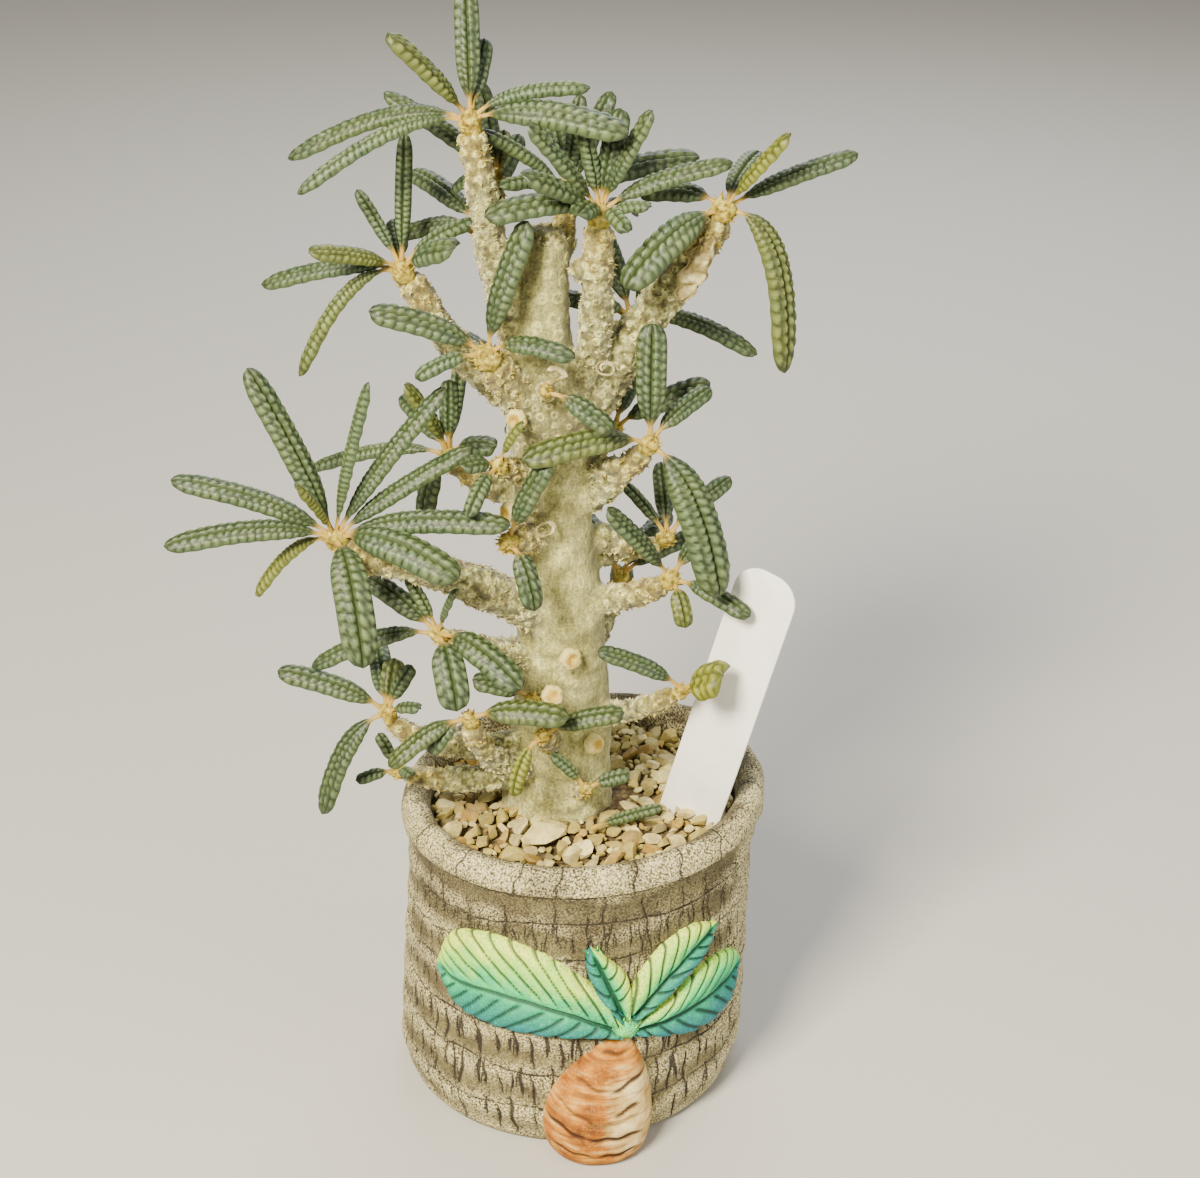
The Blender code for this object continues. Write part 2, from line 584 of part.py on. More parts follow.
def stem_ring(height, extra):
    x, y, radius = interpolate(STEM, height)
    ring = []
    for i in range(STEM_SIDES):
        a = 2 * math.pi * i / STEM_SIDES
        out = radius * MM + stem_knobs(a, height * MM) + extra
        ring.append(Vector((x * MM + out * math.cos(a), y * MM + out * math.sin(a), height * MM)))
    return ring


def stem_levels():
    """Heights of the stem's rings: those of the table, and one between two that lie far apart."""
    levels = []
    for low, high in zip(STEM, STEM[1:]):
        levels.append(low[0])
        if high[0] - low[0] > STEM_RING_STEP:
            levels.append((low[0] + high[0]) / 2)
    return levels + [STEM[-1][0]]


def stem_solid(bark):
    return loft("caudex", [stem_ring(height, 0) for height in stem_levels()], bark)


def stem_plug(bark):
    """What the stem takes out of the mix: its own foot, a little larger all round."""
    levels = [height for height in stem_levels() if height < STEM_HOLE_TOP]
    rings = [stem_ring(height, GAP * 1.3) for height in levels]
    for point in rings[0]:
        point.z -= GAP
    return loft("stem_plug", rings, bark)


def route_points(route, spacing):
    """The route's points as a smooth curve, evenly spaced."""
    points = [Vector(p) * MM for p in route]
    ends = [2 * points[0] - points[1]] + points + [2 * points[-1] - points[-2]]
    fine = []
    for before, start, stop, after in zip(ends, ends[1:], ends[2:], ends[3:]):
        for step in range(12):
            t = step / 12
            fine.append(0.5 * (
                2 * start + (stop - before) * t + (2 * before - 5 * start + 4 * stop - after) * t ** 2
                + (3 * start - before - 3 * stop + after) * t ** 3))
    fine.append(points[-1])
    lengths = [0.0]
    for a, b in zip(fine, fine[1:]):
        lengths.append(lengths[-1] + (b - a).length)
    count = max(2, round(lengths[-1] / spacing))
    spaced = []
    for step in range(count + 1):
        target = lengths[-1] * step / count
        k = 0
        while k < len(lengths) - 2 and lengths[k + 1] < target:
            k += 1
        share = (target - lengths[k]) / (lengths[k + 1] - lengths[k])
        spaced.append(fine[k].lerp(fine[k + 1], share))
    return spaced, lengths[-1]


def round_at(middle, across, other, radius, sides):
    """A ring of points round a middle, in the plane of two directions."""
    angles = [2 * math.pi * i / sides for i in range(sides)]
    return [middle + radius * (math.cos(a) * across + math.sin(a) * other) for a in angles]


def limb(name, points, radii, finish, cut=None):
    """A branch along its points, thinning to its end, with a ring at each leaf scar.

    cut is the index of the end that is cut square to a given way, and that way.
    """
    rings = []
    steady = (points[-1] - points[0]).normalized().orthogonal()
    last = len(points) - 1
    for i, point in enumerate(points):
        ahead = (points[min(i + 1, last)] - points[max(i - 1, 0)]).normalized()
        if cut and i == cut[0]:
            ahead = cut[1]
        across = (steady - ahead * steady.dot(ahead)).normalized()
        radius = (radii[0] + (radii[1] - radii[0]) * (i / last) ** 0.8) * MM
        radius *= 1 + (SCAR_DEPTH if i % 2 else -SCAR_DEPTH) * (0 < i < last)
        rings.append(round_at(point, across, ahead.cross(across), radius, BRANCH_SIDES))
    return loft(name, rings, finish)


def split_route(shoot):
    """The branch's points, those of the crown a hair above its end, and the way that both face there."""
    fine, length = route_points(shoot.route, 0.5 * MM)
    step = length / (len(fine) - 1)
    split = len(fine) - round(shoot.crown * MM / step)
    way = (fine[split + 1] - fine[split - 1]).normalized()
    wood = fine[:split + 1]
    crown = [wood[-1] + way * GAP, fine[(split + len(fine)) // 2], fine[-1]]
    stations = max(2, round(len(wood) * step / SCAR_SPACING))
    picked = [wood[round(i * (len(wood) - 1) / stations)] for i in range(stations + 1)]
    return picked, crown, way


def build_caudex(bark):
    body = stem_solid(bark)
    wood = []
    for shoot in SHOOTS:
        points, _, way = split_route(shoot)
        wood.append(limb("branch_" + shoot.name, points, shoot.radii, bark, cut=(len(points) - 1, way)))
    for number, (route, radii) in enumerate(STUBS):
        points, _ = route_points(route, SCAR_SPACING)
        wood.append(limb(f"stub_{number}", points, radii, bark))
    combine(body, wood, "UNION")
    smooth_shade(body, 60)
    return body


# The leaves

def leaf_frame(leaf):
    """The leaf's chord, the way it starts out, and its middle's way up, as unit vectors."""
    bearing = math.radians(leaf.bearing)
    outward = Vector((math.cos(bearing), math.sin(bearing), 0))
    climb = math.radians(leaf.climb)
    start = math.radians(leaf.climb + leaf.lift)
    chord = outward * math.cos(climb) + Vector((0, 0, math.sin(climb)))
    first = outward * math.cos(start) + Vector((0, 0, math.sin(start)))
    return outward, chord, first


def leaf_solid(name, crown, leaf, finish):
    outward, chord, first = leaf_frame(leaf)
    reach = leaf.reach * MM
    control = crown + first * reach * BLADE_ARCH
    end = crown + chord * reach
    stalk = min(STALK_LENGTH / reach, STALK_SHARE)
    sideways = Vector((0, 0, 1)).cross(outward)

    def at(share):
        point = (1 - share) ** 2 * crown + 2 * share * (1 - share) * control + share ** 2 * end
        ahead = ((1 - share) * (control - crown) + share * (end - control)).normalized()
        if leaf.roll is None:
            up = ahead.cross(sideways) + LIGHT
            side = up.cross(ahead).normalized()
        else:
            side = Matrix.Rotation(math.radians(leaf.roll), 3, ahead) @ sideways
        return point, side, ahead.cross(side)

    def ring(share, width):
        point, side, up = at(share)
        if width is None:
            places = [(-1, -0.6), (-0.7, 0.7), (0, 1), (0.7, 0.7), (1, -0.6)]
            return [point + STALK_RADIUS * (x * side + z * up) for x, z in places]
        half = width * MM / 2
        places = [(-1, BLADE_EDGE), (-0.5, BLADE_CREST), (0, BLADE_MIDRIB), (0.5, BLADE_CREST), (1, BLADE_EDGE)]
        return [point + half * (x * side + z * up) for x, z in places]

    rings = [ring(0, None)]
    for along, wide in BLADE_OUTLINE:
        rings.append(ring(stalk + along * (1 - stalk), leaf.width * wide))
    return loft(name, rings, finish, at(1)[0])


def build_rosette(shoot, finish):
    """The crown at a branch's end, with its leaves rooted in it."""
    _, crown, way = split_route(shoot)
    end_radius = shoot.radii[1]
    radii = (end_radius, end_radius * CROWN_TAPER)
    bud = limb("leaves_" + shoot.name, crown, radii, finish, cut=(0, way))
    heart = crown[-1] - (crown[-1] - crown[1]).normalized() * end_radius * HEART_DEPTH * MM
    leaves = []
    for number, row in enumerate(shoot.leaves):
        leaf = Leaf(*row)
        root = heart + leaf_frame(leaf)[2] * end_radius * ROOT_OFFSET * MM
        leaves.append(leaf_solid(f"leaf_{number}", root, leaf, finish))
    combine(bud, leaves, "UNION")
    smooth_shade(bud, 50)
    return bud


# What else is on or beside the stem

def depth_to(ground, start, direction, spread):
    """How far the ground lies from the start, at the nearest of some points round it."""
    tree = BVHTree.FromObject(ground, bpy.context.evaluated_depsgraph_get())
    across = direction.orthogonal().normalized()
    other = direction.cross(across)
    depths = []
    for out in (0, spread / 2, spread):
        for origin in round_at(start, across, other, out, 8):
            _, _, _, distance = tree.ray_cast(origin, direction)
            if distance is not None:
                depths.append(distance)
    return min(depths)


def build_flower_head(number, caudex, finish):
    """A flat round head on a short stalk, seated on the bark where it faces."""
    place, facing, rim = FLOWER_HEADS[number]
    facing = Vector(facing).normalized()
    outside = Vector(place) * MM
    seat = outside - facing * (depth_to(caudex, outside, -facing, 1.6 * HEAD_STALK) - GAP)
    across = facing.orthogonal().normalized()
    other = facing.cross(across)
    rings = []
    for rise, share in HEAD_RINGS:
        radius = HEAD_STALK + share * (rim * MM - HEAD_STALK)
        rings.append(round_at(seat + facing * rise * MM, across, other, radius, 8))
    head = loft(f"flower_head_{number + 1}", rings, finish)
    smooth_shade(head, 40)
    return head


def settle(piece, ground, down):
    """Moves a piece down until its nearest point stands a gap away from the ground, or back up to there."""
    graph = bpy.context.evaluated_depsgraph_get()
    below = BVHTree.FromObject(ground, graph)
    above = BVHTree.FromObject(piece, graph)
    far = 50 * MM
    rooms = []
    for vert in piece.data.vertices:
        _, _, _, distance = below.ray_cast(vert.co - far * down, down)
        if distance is not None:
            rooms.append(distance - far)
    for vert in ground.data.vertices:
        _, _, _, distance = above.ray_cast(vert.co + far * down, -down)
        if distance is not None:
            rooms.append(distance - far)
    piece.data.transform(Matrix.Translation((min(rooms) - REST_GAP) * down))


def build_dry_leaf(caudex, finish):
    """A papery dead leaf that still hangs on the right arm, a hair clear of its bark."""
    rings = []
    for height, x, y, wide, turn in DRY_LEAF:
        a = math.radians(turn)
        side = Vector((math.cos(a), math.sin(a), 0.35)) * wide * MM
        out = Vector((math.sin(a), -math.cos(a), 0)) * DRY_LEAF_HALF_THICK
        middle = Vector((x, y, height)) * MM
        curl = Vector((0, DRY_LEAF_CURL, 0))
        rings.append([middle - side - out - curl, middle + side - out - curl,
                      middle + side + out - curl, middle + out * 1.6, middle - side + out - curl])
    dry = loft("dry_leaf", rings, finish)
    settle(dry, caudex, Vector((0, 1, 0)))
    smooth_shade(dry, 40)
    return dry


def build_fallen_leaf(grit, finish):
    """A leaf that has dropped and lies across the stones in front of the stem."""
    leaf = leaf_solid("fallen_leaf", FALLEN_LEAF_FOOT, FALLEN_LEAF, finish)
    settle(leaf, grit, Vector((0, 0, -1)))
    smooth_shade(leaf, 50)
    return leaf


def label_solid(name, finish, extra):
    """A flat tongue with a round head and a pointed foot; extra makes it larger all round."""
    half = LABEL_WIDTH / 2 + extra
    shoulder = LABEL_ABOVE + extra - LABEL_CORNER
    outline = []
    for side, start in ((1, 0), (-1, 90)):
        for step in range(5):
            a = math.radians(start + 22.5 * step)
            out = side * (half - LABEL_CORNER) + LABEL_CORNER * math.cos(a)
            outline.append((out, shoulder + LABEL_CORNER * math.sin(a)))
    foot = -LABEL_BELOW - extra
    outline += [(-half, foot / 2), (-LABEL_POINT, foot), (LABEL_POINT, foot), (half, foot / 2)]
    thick = LABEL_THICKNESS / 2 + extra
    turn = (Matrix.Rotation(math.radians(LABEL_TURN), 4, "Z")
            @ Matrix.Rotation(math.radians(-LABEL_LEAN_BACK), 4, "X")
            @ Matrix.Rotation(math.radians(LABEL_LEAN_RIGHT), 4, "Y"))
    place = Matrix.Translation(LABEL_FOOT) @ turn
    rings = [[place @ Vector((x, y, z)) for x, z in outline] for y in (-thick, thick)]
    return loft(name, rings, finish)


def main():
    clear_scene()
    clay = material("fired clay, dry brushed", (0.34, 0.30, 0.23), 0.85)
    mix = material("washed grit", (0.66, 0.56, 0.38), 0.9)
    bark = material("felted bark", (0.38, 0.34, 0.20), 0.9)
    green = material("bullate leaf", (0.09, 0.16, 0.09), 0.5)
    tan = material("flower head", (0.75, 0.48, 0.22), 0.7)
    paper = material("dry leaf", (0.55, 0.42, 0.26), 0.8)
    plastic = material("white label plastic", (0.86, 0.86, 0.84), 0.4)

    build_pot(clay)
    grit = build_grit(mix, stem_plug(bark), label_solid("label_slot", plastic, GAP))
    label_solid("label", plastic, 0.0)
    caudex = build_caudex(bark)
    for shoot in SHOOTS:
        build_rosette(shoot, green)
    for number in range(len(FLOWER_HEADS)):
        build_flower_head(number, caudex, tan)
    build_dry_leaf(caudex, paper)
    build_fallen_leaf(grit, green)


if __name__ == "__main__":
    main()
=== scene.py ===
# %% [markdown]
# # A potted Dorstenia gigas, finished for a portrait
#
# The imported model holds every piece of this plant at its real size: a clay pot, the gritty mix, the swollen
# stem with its branches, 28 rosettes of leaves and a plant label. Those solids are plain. This lesson gives
# each of them the surface that the real one has. It is written as short cells, to be run from top to bottom.
#
# The frame comes first. It says where everything is, and nothing in it is moved or resized here.

# %% Load the frame
import math
import random
from functools import partial

import bpy
import numpy as np
from mathutils import Matrix, Vector
from mathutils.kdtree import KDTree


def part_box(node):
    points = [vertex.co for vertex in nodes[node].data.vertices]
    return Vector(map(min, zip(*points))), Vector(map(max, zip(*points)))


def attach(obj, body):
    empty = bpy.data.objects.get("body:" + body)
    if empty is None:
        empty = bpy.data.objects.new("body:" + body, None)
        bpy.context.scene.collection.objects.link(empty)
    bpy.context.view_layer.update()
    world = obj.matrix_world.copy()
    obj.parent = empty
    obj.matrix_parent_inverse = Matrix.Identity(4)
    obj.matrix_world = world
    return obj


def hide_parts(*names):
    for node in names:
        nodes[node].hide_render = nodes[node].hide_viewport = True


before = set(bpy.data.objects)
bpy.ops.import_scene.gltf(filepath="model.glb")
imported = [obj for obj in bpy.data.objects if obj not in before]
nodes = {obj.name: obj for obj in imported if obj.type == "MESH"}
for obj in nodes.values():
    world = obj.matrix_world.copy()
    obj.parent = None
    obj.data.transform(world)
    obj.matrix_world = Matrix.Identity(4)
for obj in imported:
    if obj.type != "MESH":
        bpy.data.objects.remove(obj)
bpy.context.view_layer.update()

scene = bpy.context.scene
MM = 0.001
print("CAD nodes:", len(nodes))

# %% [markdown]
# ## Small tools for meshes
#
# An operator works on whatever is selected, and the frame arrives selected. So each piece is modelled with
# nothing else selected. Shapes that grow, such as bark and leaves, follow formulas more easily than they
# follow a mouse, so the points of a primitive are also read into an array, moved by a formula and put back.

# %% Mesh tools
def only(piece):
    """Selects one piece and nothing else."""
    bpy.ops.object.select_all(action="DESELECT")
    piece.select_set(True)
    bpy.context.view_layer.objects.active = piece


def named(name):
    """Names the piece that is active."""
    piece = bpy.context.object
    piece.name = piece.data.name = name
    return piece


def start(name, operator, **settings):
    """Adds a primitive, with nothing else selected, and names it."""
    bpy.ops.object.select_all(action="DESELECT")
    operator(**settings)
    return named(name)


def new_piece(name, points, edges=(), faces=()):
    """A piece made straight from its points in metres."""
    mesh = bpy.data.meshes.new(name)
    mesh.from_pydata(points, edges, faces)
    piece = bpy.data.objects.new(name, mesh)
    scene.collection.objects.link(piece)
    return piece


def read(values, key):
    """Three numbers for each point, as an array with a row for each."""
    flat = np.empty(len(values) * 3, np.float32)
    values.foreach_get(key, flat)
    return flat.reshape(-1, 3).astype(float)


def points_of(piece):
    return read(piece.data.vertices, "co")


def normals_of(piece):
    return read(piece.data.vertex_normals, "vector")


def place_points(piece, points):
    piece.data.vertices.foreach_set("co", np.asarray(points, np.float32).ravel())
    piece.data.update()


def store(piece, **layers):
    """Keeps numbers, one for each point of a piece, for its material to read by their names."""
    for name, values in layers.items():
        layer = piece.data.attributes.new(name, "FLOAT", "POINT")
        layer.data.foreach_set("value", np.asarray(values, np.float32))


def apply(piece, kind, **settings):
    """Adds a modifier with its settings and applies it."""
    only(piece)
    step = piece.modifiers.new(kind, kind)
    for key, value in settings.items():
        setattr(step, key, value)
    bpy.ops.object.modifier_apply(modifier=step.name)


def in_edit_mode(piece, *steps):
    """Runs mesh operators, each on all of a piece."""
    only(piece)
    bpy.ops.object.mode_set(mode="EDIT")
    for step, settings in steps:
        bpy.ops.mesh.select_all(action="SELECT")
        step(**settings)
    bpy.ops.object.mode_set(mode="OBJECT")


def face_outwards(piece):
    in_edit_mode(piece, (bpy.ops.mesh.normals_make_consistent, dict(inside=False)))


def spin(name, outline, steps):
    """Spins an outline, of radii and heights in metres, into a closed piece."""
    line = [(radius, 0, height) for radius, height in outline]
    piece = new_piece(name, line, [(i, i + 1) for i in range(len(line) - 1)])
    in_edit_mode(
        piece,
        (bpy.ops.mesh.spin, dict(steps=steps, angle=2 * math.pi, center=(0, 0, 0), axis=(0, 0, 1))),
        (bpy.ops.mesh.remove_doubles, dict(threshold=1e-6)),
    )
    face_outwards(piece)
    return piece


def pattern_from(operator, **settings):
    """A primitive's points and faces, to be copied many times. The primitive itself goes."""
    pattern = start("pattern", operator, **settings)
    bpy.ops.object.transform_apply(location=True, rotation=False, scale=False)
    points, faces = points_of(pattern), [list(face.vertices) for face in pattern.data.polygons]
    bpy.data.objects.remove(pattern)
    return points, faces


def tree_of(points):
    """A tree that finds the nearest of some points."""
    tree = KDTree(len(points))
    for i, point in enumerate(points):
        tree.insert(point, i)
    tree.balance()
    return tree


def join(pieces, name):
    """Joins pieces into one."""
    bpy.ops.object.select_all(action="DESELECT")
    for piece in pieces:
        piece.select_set(True)
    bpy.context.view_layer.objects.active = pieces[0]
    if len(pieces) > 1:
        bpy.ops.object.join()
    return named(name)


def dress(piece, *finishes):
    piece.data.materials.clear()
    for finish in finishes:
        piece.data.materials.append(finish)


def smooth(piece, degrees):
    """Shades a piece smooth, but for edges sharper than the angle."""
    only(piece)
    bpy.ops.object.shade_smooth_by_angle(angle=math.radians(degrees))


# %% [markdown]
# Nature is never even. This value noise gives smooth random lumps of a size that is set in metres, the same
# on every run, and it takes thousands of points at once.

# %% Lumps of noise
def lumps(points, size, seed=0):
    """Smooth random numbers from -1 to 1, one for each point, that change over the given size."""
    at = points / size + 31.7 * seed
    cell = np.floor(at).astype(np.int64)
    share = at - cell
    share = share * share * (3 - 2 * share)
    total = np.zeros(len(points))
    for corner in np.ndindex(2, 2, 2):
        x, y, z = (cell + corner).T
        mixed = (x * 73856093) ^ (y * 19349663) ^ (z * 83492791)
        mixed = (mixed ^ (mixed >> 13)) * 1274126177
        value = ((mixed ^ (mixed >> 16)) & 0xFFFF) / 32767.5 - 1
        weight = np.prod(np.where(np.array(corner) == 1, share, 1 - share), axis=1)
        total += weight * value
    return total


def rise(low, high, value):
    """0 below low, 1 above high, and a smooth step between."""
    share = np.clip((value - low) / (high - low), 0, 1)
    return share * share * (3 - 2 * share)


# %% [markdown]
# ## Small tools for materials
#
# Colours are written as the hex values that a painter would pick on a screen. The renderer works in linear
# light, so one function turns them. A second one adds a node, fills its settings and links its inputs. The
# others start a material, wash a tint over a colour, and link the finished colour and bump to the shader.
# A texture's Scale is how many of its grains lie in a metre, so the size of one grain is noted beside it.

# %% Material tools
INPUTS = {  # sockets in the order used here, where it isn't their own. A Mix takes a share and two colours
    "Mix": (0, 6, 7), "Bump": ("Height", "Distance", "Strength", "Normal"),
}
OUTPUT = {"Attribute": "Fac", "TexCoord": "Object", "Mix": 2}  # the output used, where it isn't the first
PLACED = ("TexNoise", "TexVoronoi", "Mapping")  # these read the piece's own coordinates


def colour(code):
    """An sRGB hex colour as linear red, green, blue and alpha."""
    channels = [int(code[i:i + 2], 16) / 255 for i in (1, 3, 5)]
    return [c / 12.92 if c <= 0.04045 else ((c + 0.055) / 1.055) ** 2.4 for c in channels] + [1.0]


def add_node(tree, kind, inputs=(), stops=None, **settings):
    """Adds a node and gives its output.

    inputs are values, hex colours or other nodes' outputs, in order or by the names of their sockets. stops
    are the places and colours of a ramp.
    """
    node = tree.nodes.new("ShaderNode" + kind)
    if kind == "Mix":
        node.data_type = "RGBA"
    for key, value in settings.items():
        setattr(node, key, value)
    if not isinstance(inputs, dict):
        inputs = dict(zip(INPUTS.get(kind, range(len(inputs))), inputs))
    if kind in PLACED:
        inputs = {"Vector": add_node(tree, "TexCoord"), **inputs}
    for key, value in inputs.items():
        if isinstance(value, bpy.types.NodeSocket):
            tree.links.new(value, node.inputs[key])
        else:
            node.inputs[key].default_value = colour(value) if isinstance(value, str) else value
    if stops:
        ramp = node.color_ramp
        while len(ramp.elements) < len(stops):
            ramp.elements.new(0.5)
        for element, (place, code) in zip(ramp.elements, stops):
            element.position = place
            element.color = colour(code)
    return node.outputs[OUTPUT.get(kind, 0)]


def new_material(name, roughness, **settings):
    """A material, the function that adds nodes to it, and its Principled shader."""
    made = bpy.data.materials.new(name)
    made.use_nodes = True
    shader = made.node_tree.nodes["Principled BSDF"]
    shader.inputs["Roughness"].default_value = roughness
    for key, value in settings.items():
        shader.inputs[key.replace("_", " ")].default_value = value
    return made, partial(add_node, made.node_tree), shader


def coat(shader, base, bump=None):
    """Links the finished colour and the finished bump to a shader."""
    for socket, output in (("Base Color", base), ("Normal", bump)):
        if output:
            shader.id_data.links.new(output, shader.inputs[socket])


def wash(add, under, tint, mask, start_at, full_at, most=1):
    """Lays a tint over a colour, from where the mask has one value to where it has another."""
    return add("Mix", (add("MapRange", (mask, start_at, full_at, 0, most)), under, tint))


# %% [markdown]
# ## The stage
#
# The portrait is taken from a little above, with a long lens, so that the pot's mouth and its mix are seen.
# The floor is plain and pale, and three large soft lights stand round the plant, the brightest in front and
# to the left, because the left side of the pot is the lighter one.

# %% Camera, floor and lights
view = bpy.data.cameras.new("portrait")
view.sensor_width = 36
view.lens = 72.12
camera = bpy.data.objects.new("portrait", view)
camera.location = (0.010, -0.634, 0.483)
camera.rotation_euler = (math.radians(63.3), 0, 0)
scene.collection.objects.link(camera)
scene.camera = camera

floor = start("floor", bpy.ops.mesh.primitive_plane_add, size=6, location=(0, 0, -0.0002))
# Matt paint, so that the floor shows shadows and no reflections.
floor_paint, _, shader = new_material("matt studio floor", 0.75)
shader.inputs["Base Color"].default_value = colour("#b5b3ad")
dress(floor, floor_paint)

LIGHTS = {  # place, size and power, in metres and watts, and colour
    "key": ((-0.42, -0.80, 0.95), 0.34, 52, "#fff3da"),
    "fill": ((0.85, -0.55, 0.55), 0.9, 9, "#fff8ec"),
    "back": ((0.15, 0.9, 0.9), 0.8, 12, "#f6f8ff"),
}
MIDDLE = Vector((0, 0, 0.17))
for name, (place, size, power, tint) in LIGHTS.items():
    lamp = bpy.data.lights.new(name, "AREA")
    lamp.size = size
    lamp.energy = power
    lamp.color = colour(tint)[:3]
    holder = bpy.data.objects.new(name, lamp)
    holder.location = place
    holder.rotation_euler = (MIDDLE - holder.location).to_track_quat("-Z", "Y").to_euler()
    scene.collection.objects.link(holder)

world = bpy.data.worlds.new("studio")
world.use_nodes = True
world.node_tree.nodes["Background"].inputs["Color"].default_value = colour("#eeece4")
world.node_tree.nodes["Background"].inputs["Strength"].default_value = 0.4
scene.world = world
print("camera at", tuple(round(c, 3) for c in camera.location))

# %% [markdown]
# ## The pot
#
# The pot is stoneware, pressed and carved to look like old bark, stained dark in its cracks and dry brushed
# pale on what stands proud. It could be carved by hand or with a displacement picture. Here a profile is
# spun, as a potter throws it, and the carving is a formula in millimetres round the pot and up it, so that
# every groove is real geometry and the stain can follow it exactly.

# %% The pot's profile, spun
POT_HEIGHT = 100 * MM
POT_BORE = 47 * MM
WALL_MEAN = 53.5  # mm, the radius at which angles round the pot become millimetres
DRAIN_RADIUS, DRAINS_OUT = 4.5 * MM, 20 * MM
POT_FLOOR = 8 * MM
POT_LEAN = 0.05
POT_RISE_TO_RIGHT = 0.05
LIP_RADIUS = 56 * MM
LIP_FOOT = 93.2 * MM
LIP_FROM = 92  # mm up, where the plain wall ends
WALL = [  # height and outer radius, in mm
    (0, 50.5), (3, 53), (10, 54.5), (18, 54.8), (26, 54.6), (34, 54.4), (42, 54.2), (50, 54), (58, 53.8),
    (66, 53.6), (74, 53.6), (82, 53.8), (87, 54.1), (90, 54.7), (92, 55.0),
]
WALL_HEIGHTS, WALL_RADII = np.array(WALL).T * MM
POT_STEPS = 440
ROW = 0.78 * MM


def pot_profile():
    """Radius and height from the middle of the foot, up the wall, over the lip and down to the floor."""
    outline = [(0, 0), (25 * MM, 0), (46 * MM, 0), (49.6 * MM, 0)]
    for height in np.arange(0.5 * MM, LIP_FROM * MM, ROW):
        outline.append((float(np.interp(height, WALL_HEIGHTS, WALL_RADII)), float(height)))
    outline.append((54.8 * MM, 92.5 * MM))
    half = (LIP_RADIUS - POT_BORE) / 2
    for degrees in range(-30, 181, 10):
        a = math.radians(degrees)
        up = (POT_HEIGHT - LIP_FOOT) * math.sin(a)
        outline.append((POT_BORE + half + half * math.cos(a), LIP_FOOT + max(up, -0.6 * MM)))
    for height in (88, 78, 60, 42, 26, 11):
        outline.append((POT_BORE, height * MM))
    outline += [(46 * MM, 9 * MM), (44 * MM, POT_FLOOR), (25 * MM, POT_FLOOR), (0, POT_FLOOR)]
    return outline


def drill_drains(pot):
    """Three holes through the floor, where the water runs out."""
    for third in range(3):
        a = 2 * math.pi * third / 3 + math.pi / 2
        drill = start(
            "drill", bpy.ops.mesh.primitive_cylinder_add, vertices=40, radius=DRAIN_RADIUS, depth=40 * MM,
            location=(DRAINS_OUT * math.cos(a), DRAINS_OUT * math.sin(a), 0))
        apply(pot, "BOOLEAN", operation="DIFFERENCE", solver="MANIFOLD", object=drill)
        bpy.data.objects.remove(drill)


pot = spin("pot_clay", pot_profile(), POT_STEPS)
drill_drains(pot)
print("pot faces:", len(pot.data.polygons))

# %% [markdown]
# The bark runs in wavy bands about 13 mm high. Each band has its own row of upright cracks: fine hairlines
# near the lip, and cracks a millimetre wide lower down. For every point of the wall the distance to the
# nearest crack is worked out and kept, because the material can draw a much crisper line from a distance
# than the mesh can hold.

# %% Bands, cracks and the carved surface
BANDS = [  # lower edge, upper edge, crack spacing and half a crack's width, in mm
    (71, 89, 10.5, 0.17), (69, 81, 3.4, 0.1), (55, 68, 3.6, 0.16), (42, 55, 4.0, 0.22),
    (29, 42, 3.9, 0.33), (15.5, 29, 4.3, 0.36), (3, 15.5, 5.6, 0.3),
]
LINES = [(91.6, 0.2), (80, 0.17), (68, 0.12), (55, 0.13), (42, 0.17), (29, 0.17), (15.5, 0.14)]
LIP_CRACK_REACH, LIP_CRACK_HALF = 1.4, 0.16  # mm
LIP_CRACKS = [-1.9, -1.1, -0.72, -0.36, -0.13, 0.28, 0.55, 0.83, 1.4, 2.3]  # radians from the front
FAR = 9.0
NO_CRACK = -1.0
SWELL_PITCH, SWELL_DEPTH, GROOVE_DEPTH = 14, 0.7, 0.75  # mm
GROOVE_REACH = 1.5  # half widths of its crack


def wave(around, seed):
    """How far a band's edge strays up or down, in mm, at a place round the pot in mm."""
    a = around / WALL_MEAN
    return 1.3 * np.sin(2 * a + seed) + 0.8 * np.sin(5 * a + 2.3 * seed) + 0.35 * np.sin(11 * a + 4.1 * seed)


def level_lines(around, height):
    """How far above the nearest level line each point is, and half that line's width there, in mm."""
    above, half = np.full(len(around), FAR), np.full(len(around), NO_CRACK)
    for number, (level, width) in enumerate(LINES):
        off = height - level - wave(around, number) * (0.25 if level > 90 else 1)
        broken = 1 + 2.2 * rise(0.1, 0.6, np.sin(around / 9.1 + 2.7 * number) * np.sin(around / 4.3 + number))
        near = np.abs(off) < np.abs(above)
        above = np.where(near, off, above)
        half = np.where(near & (np.abs(off) < 2), width / broken, half)
    return above, half


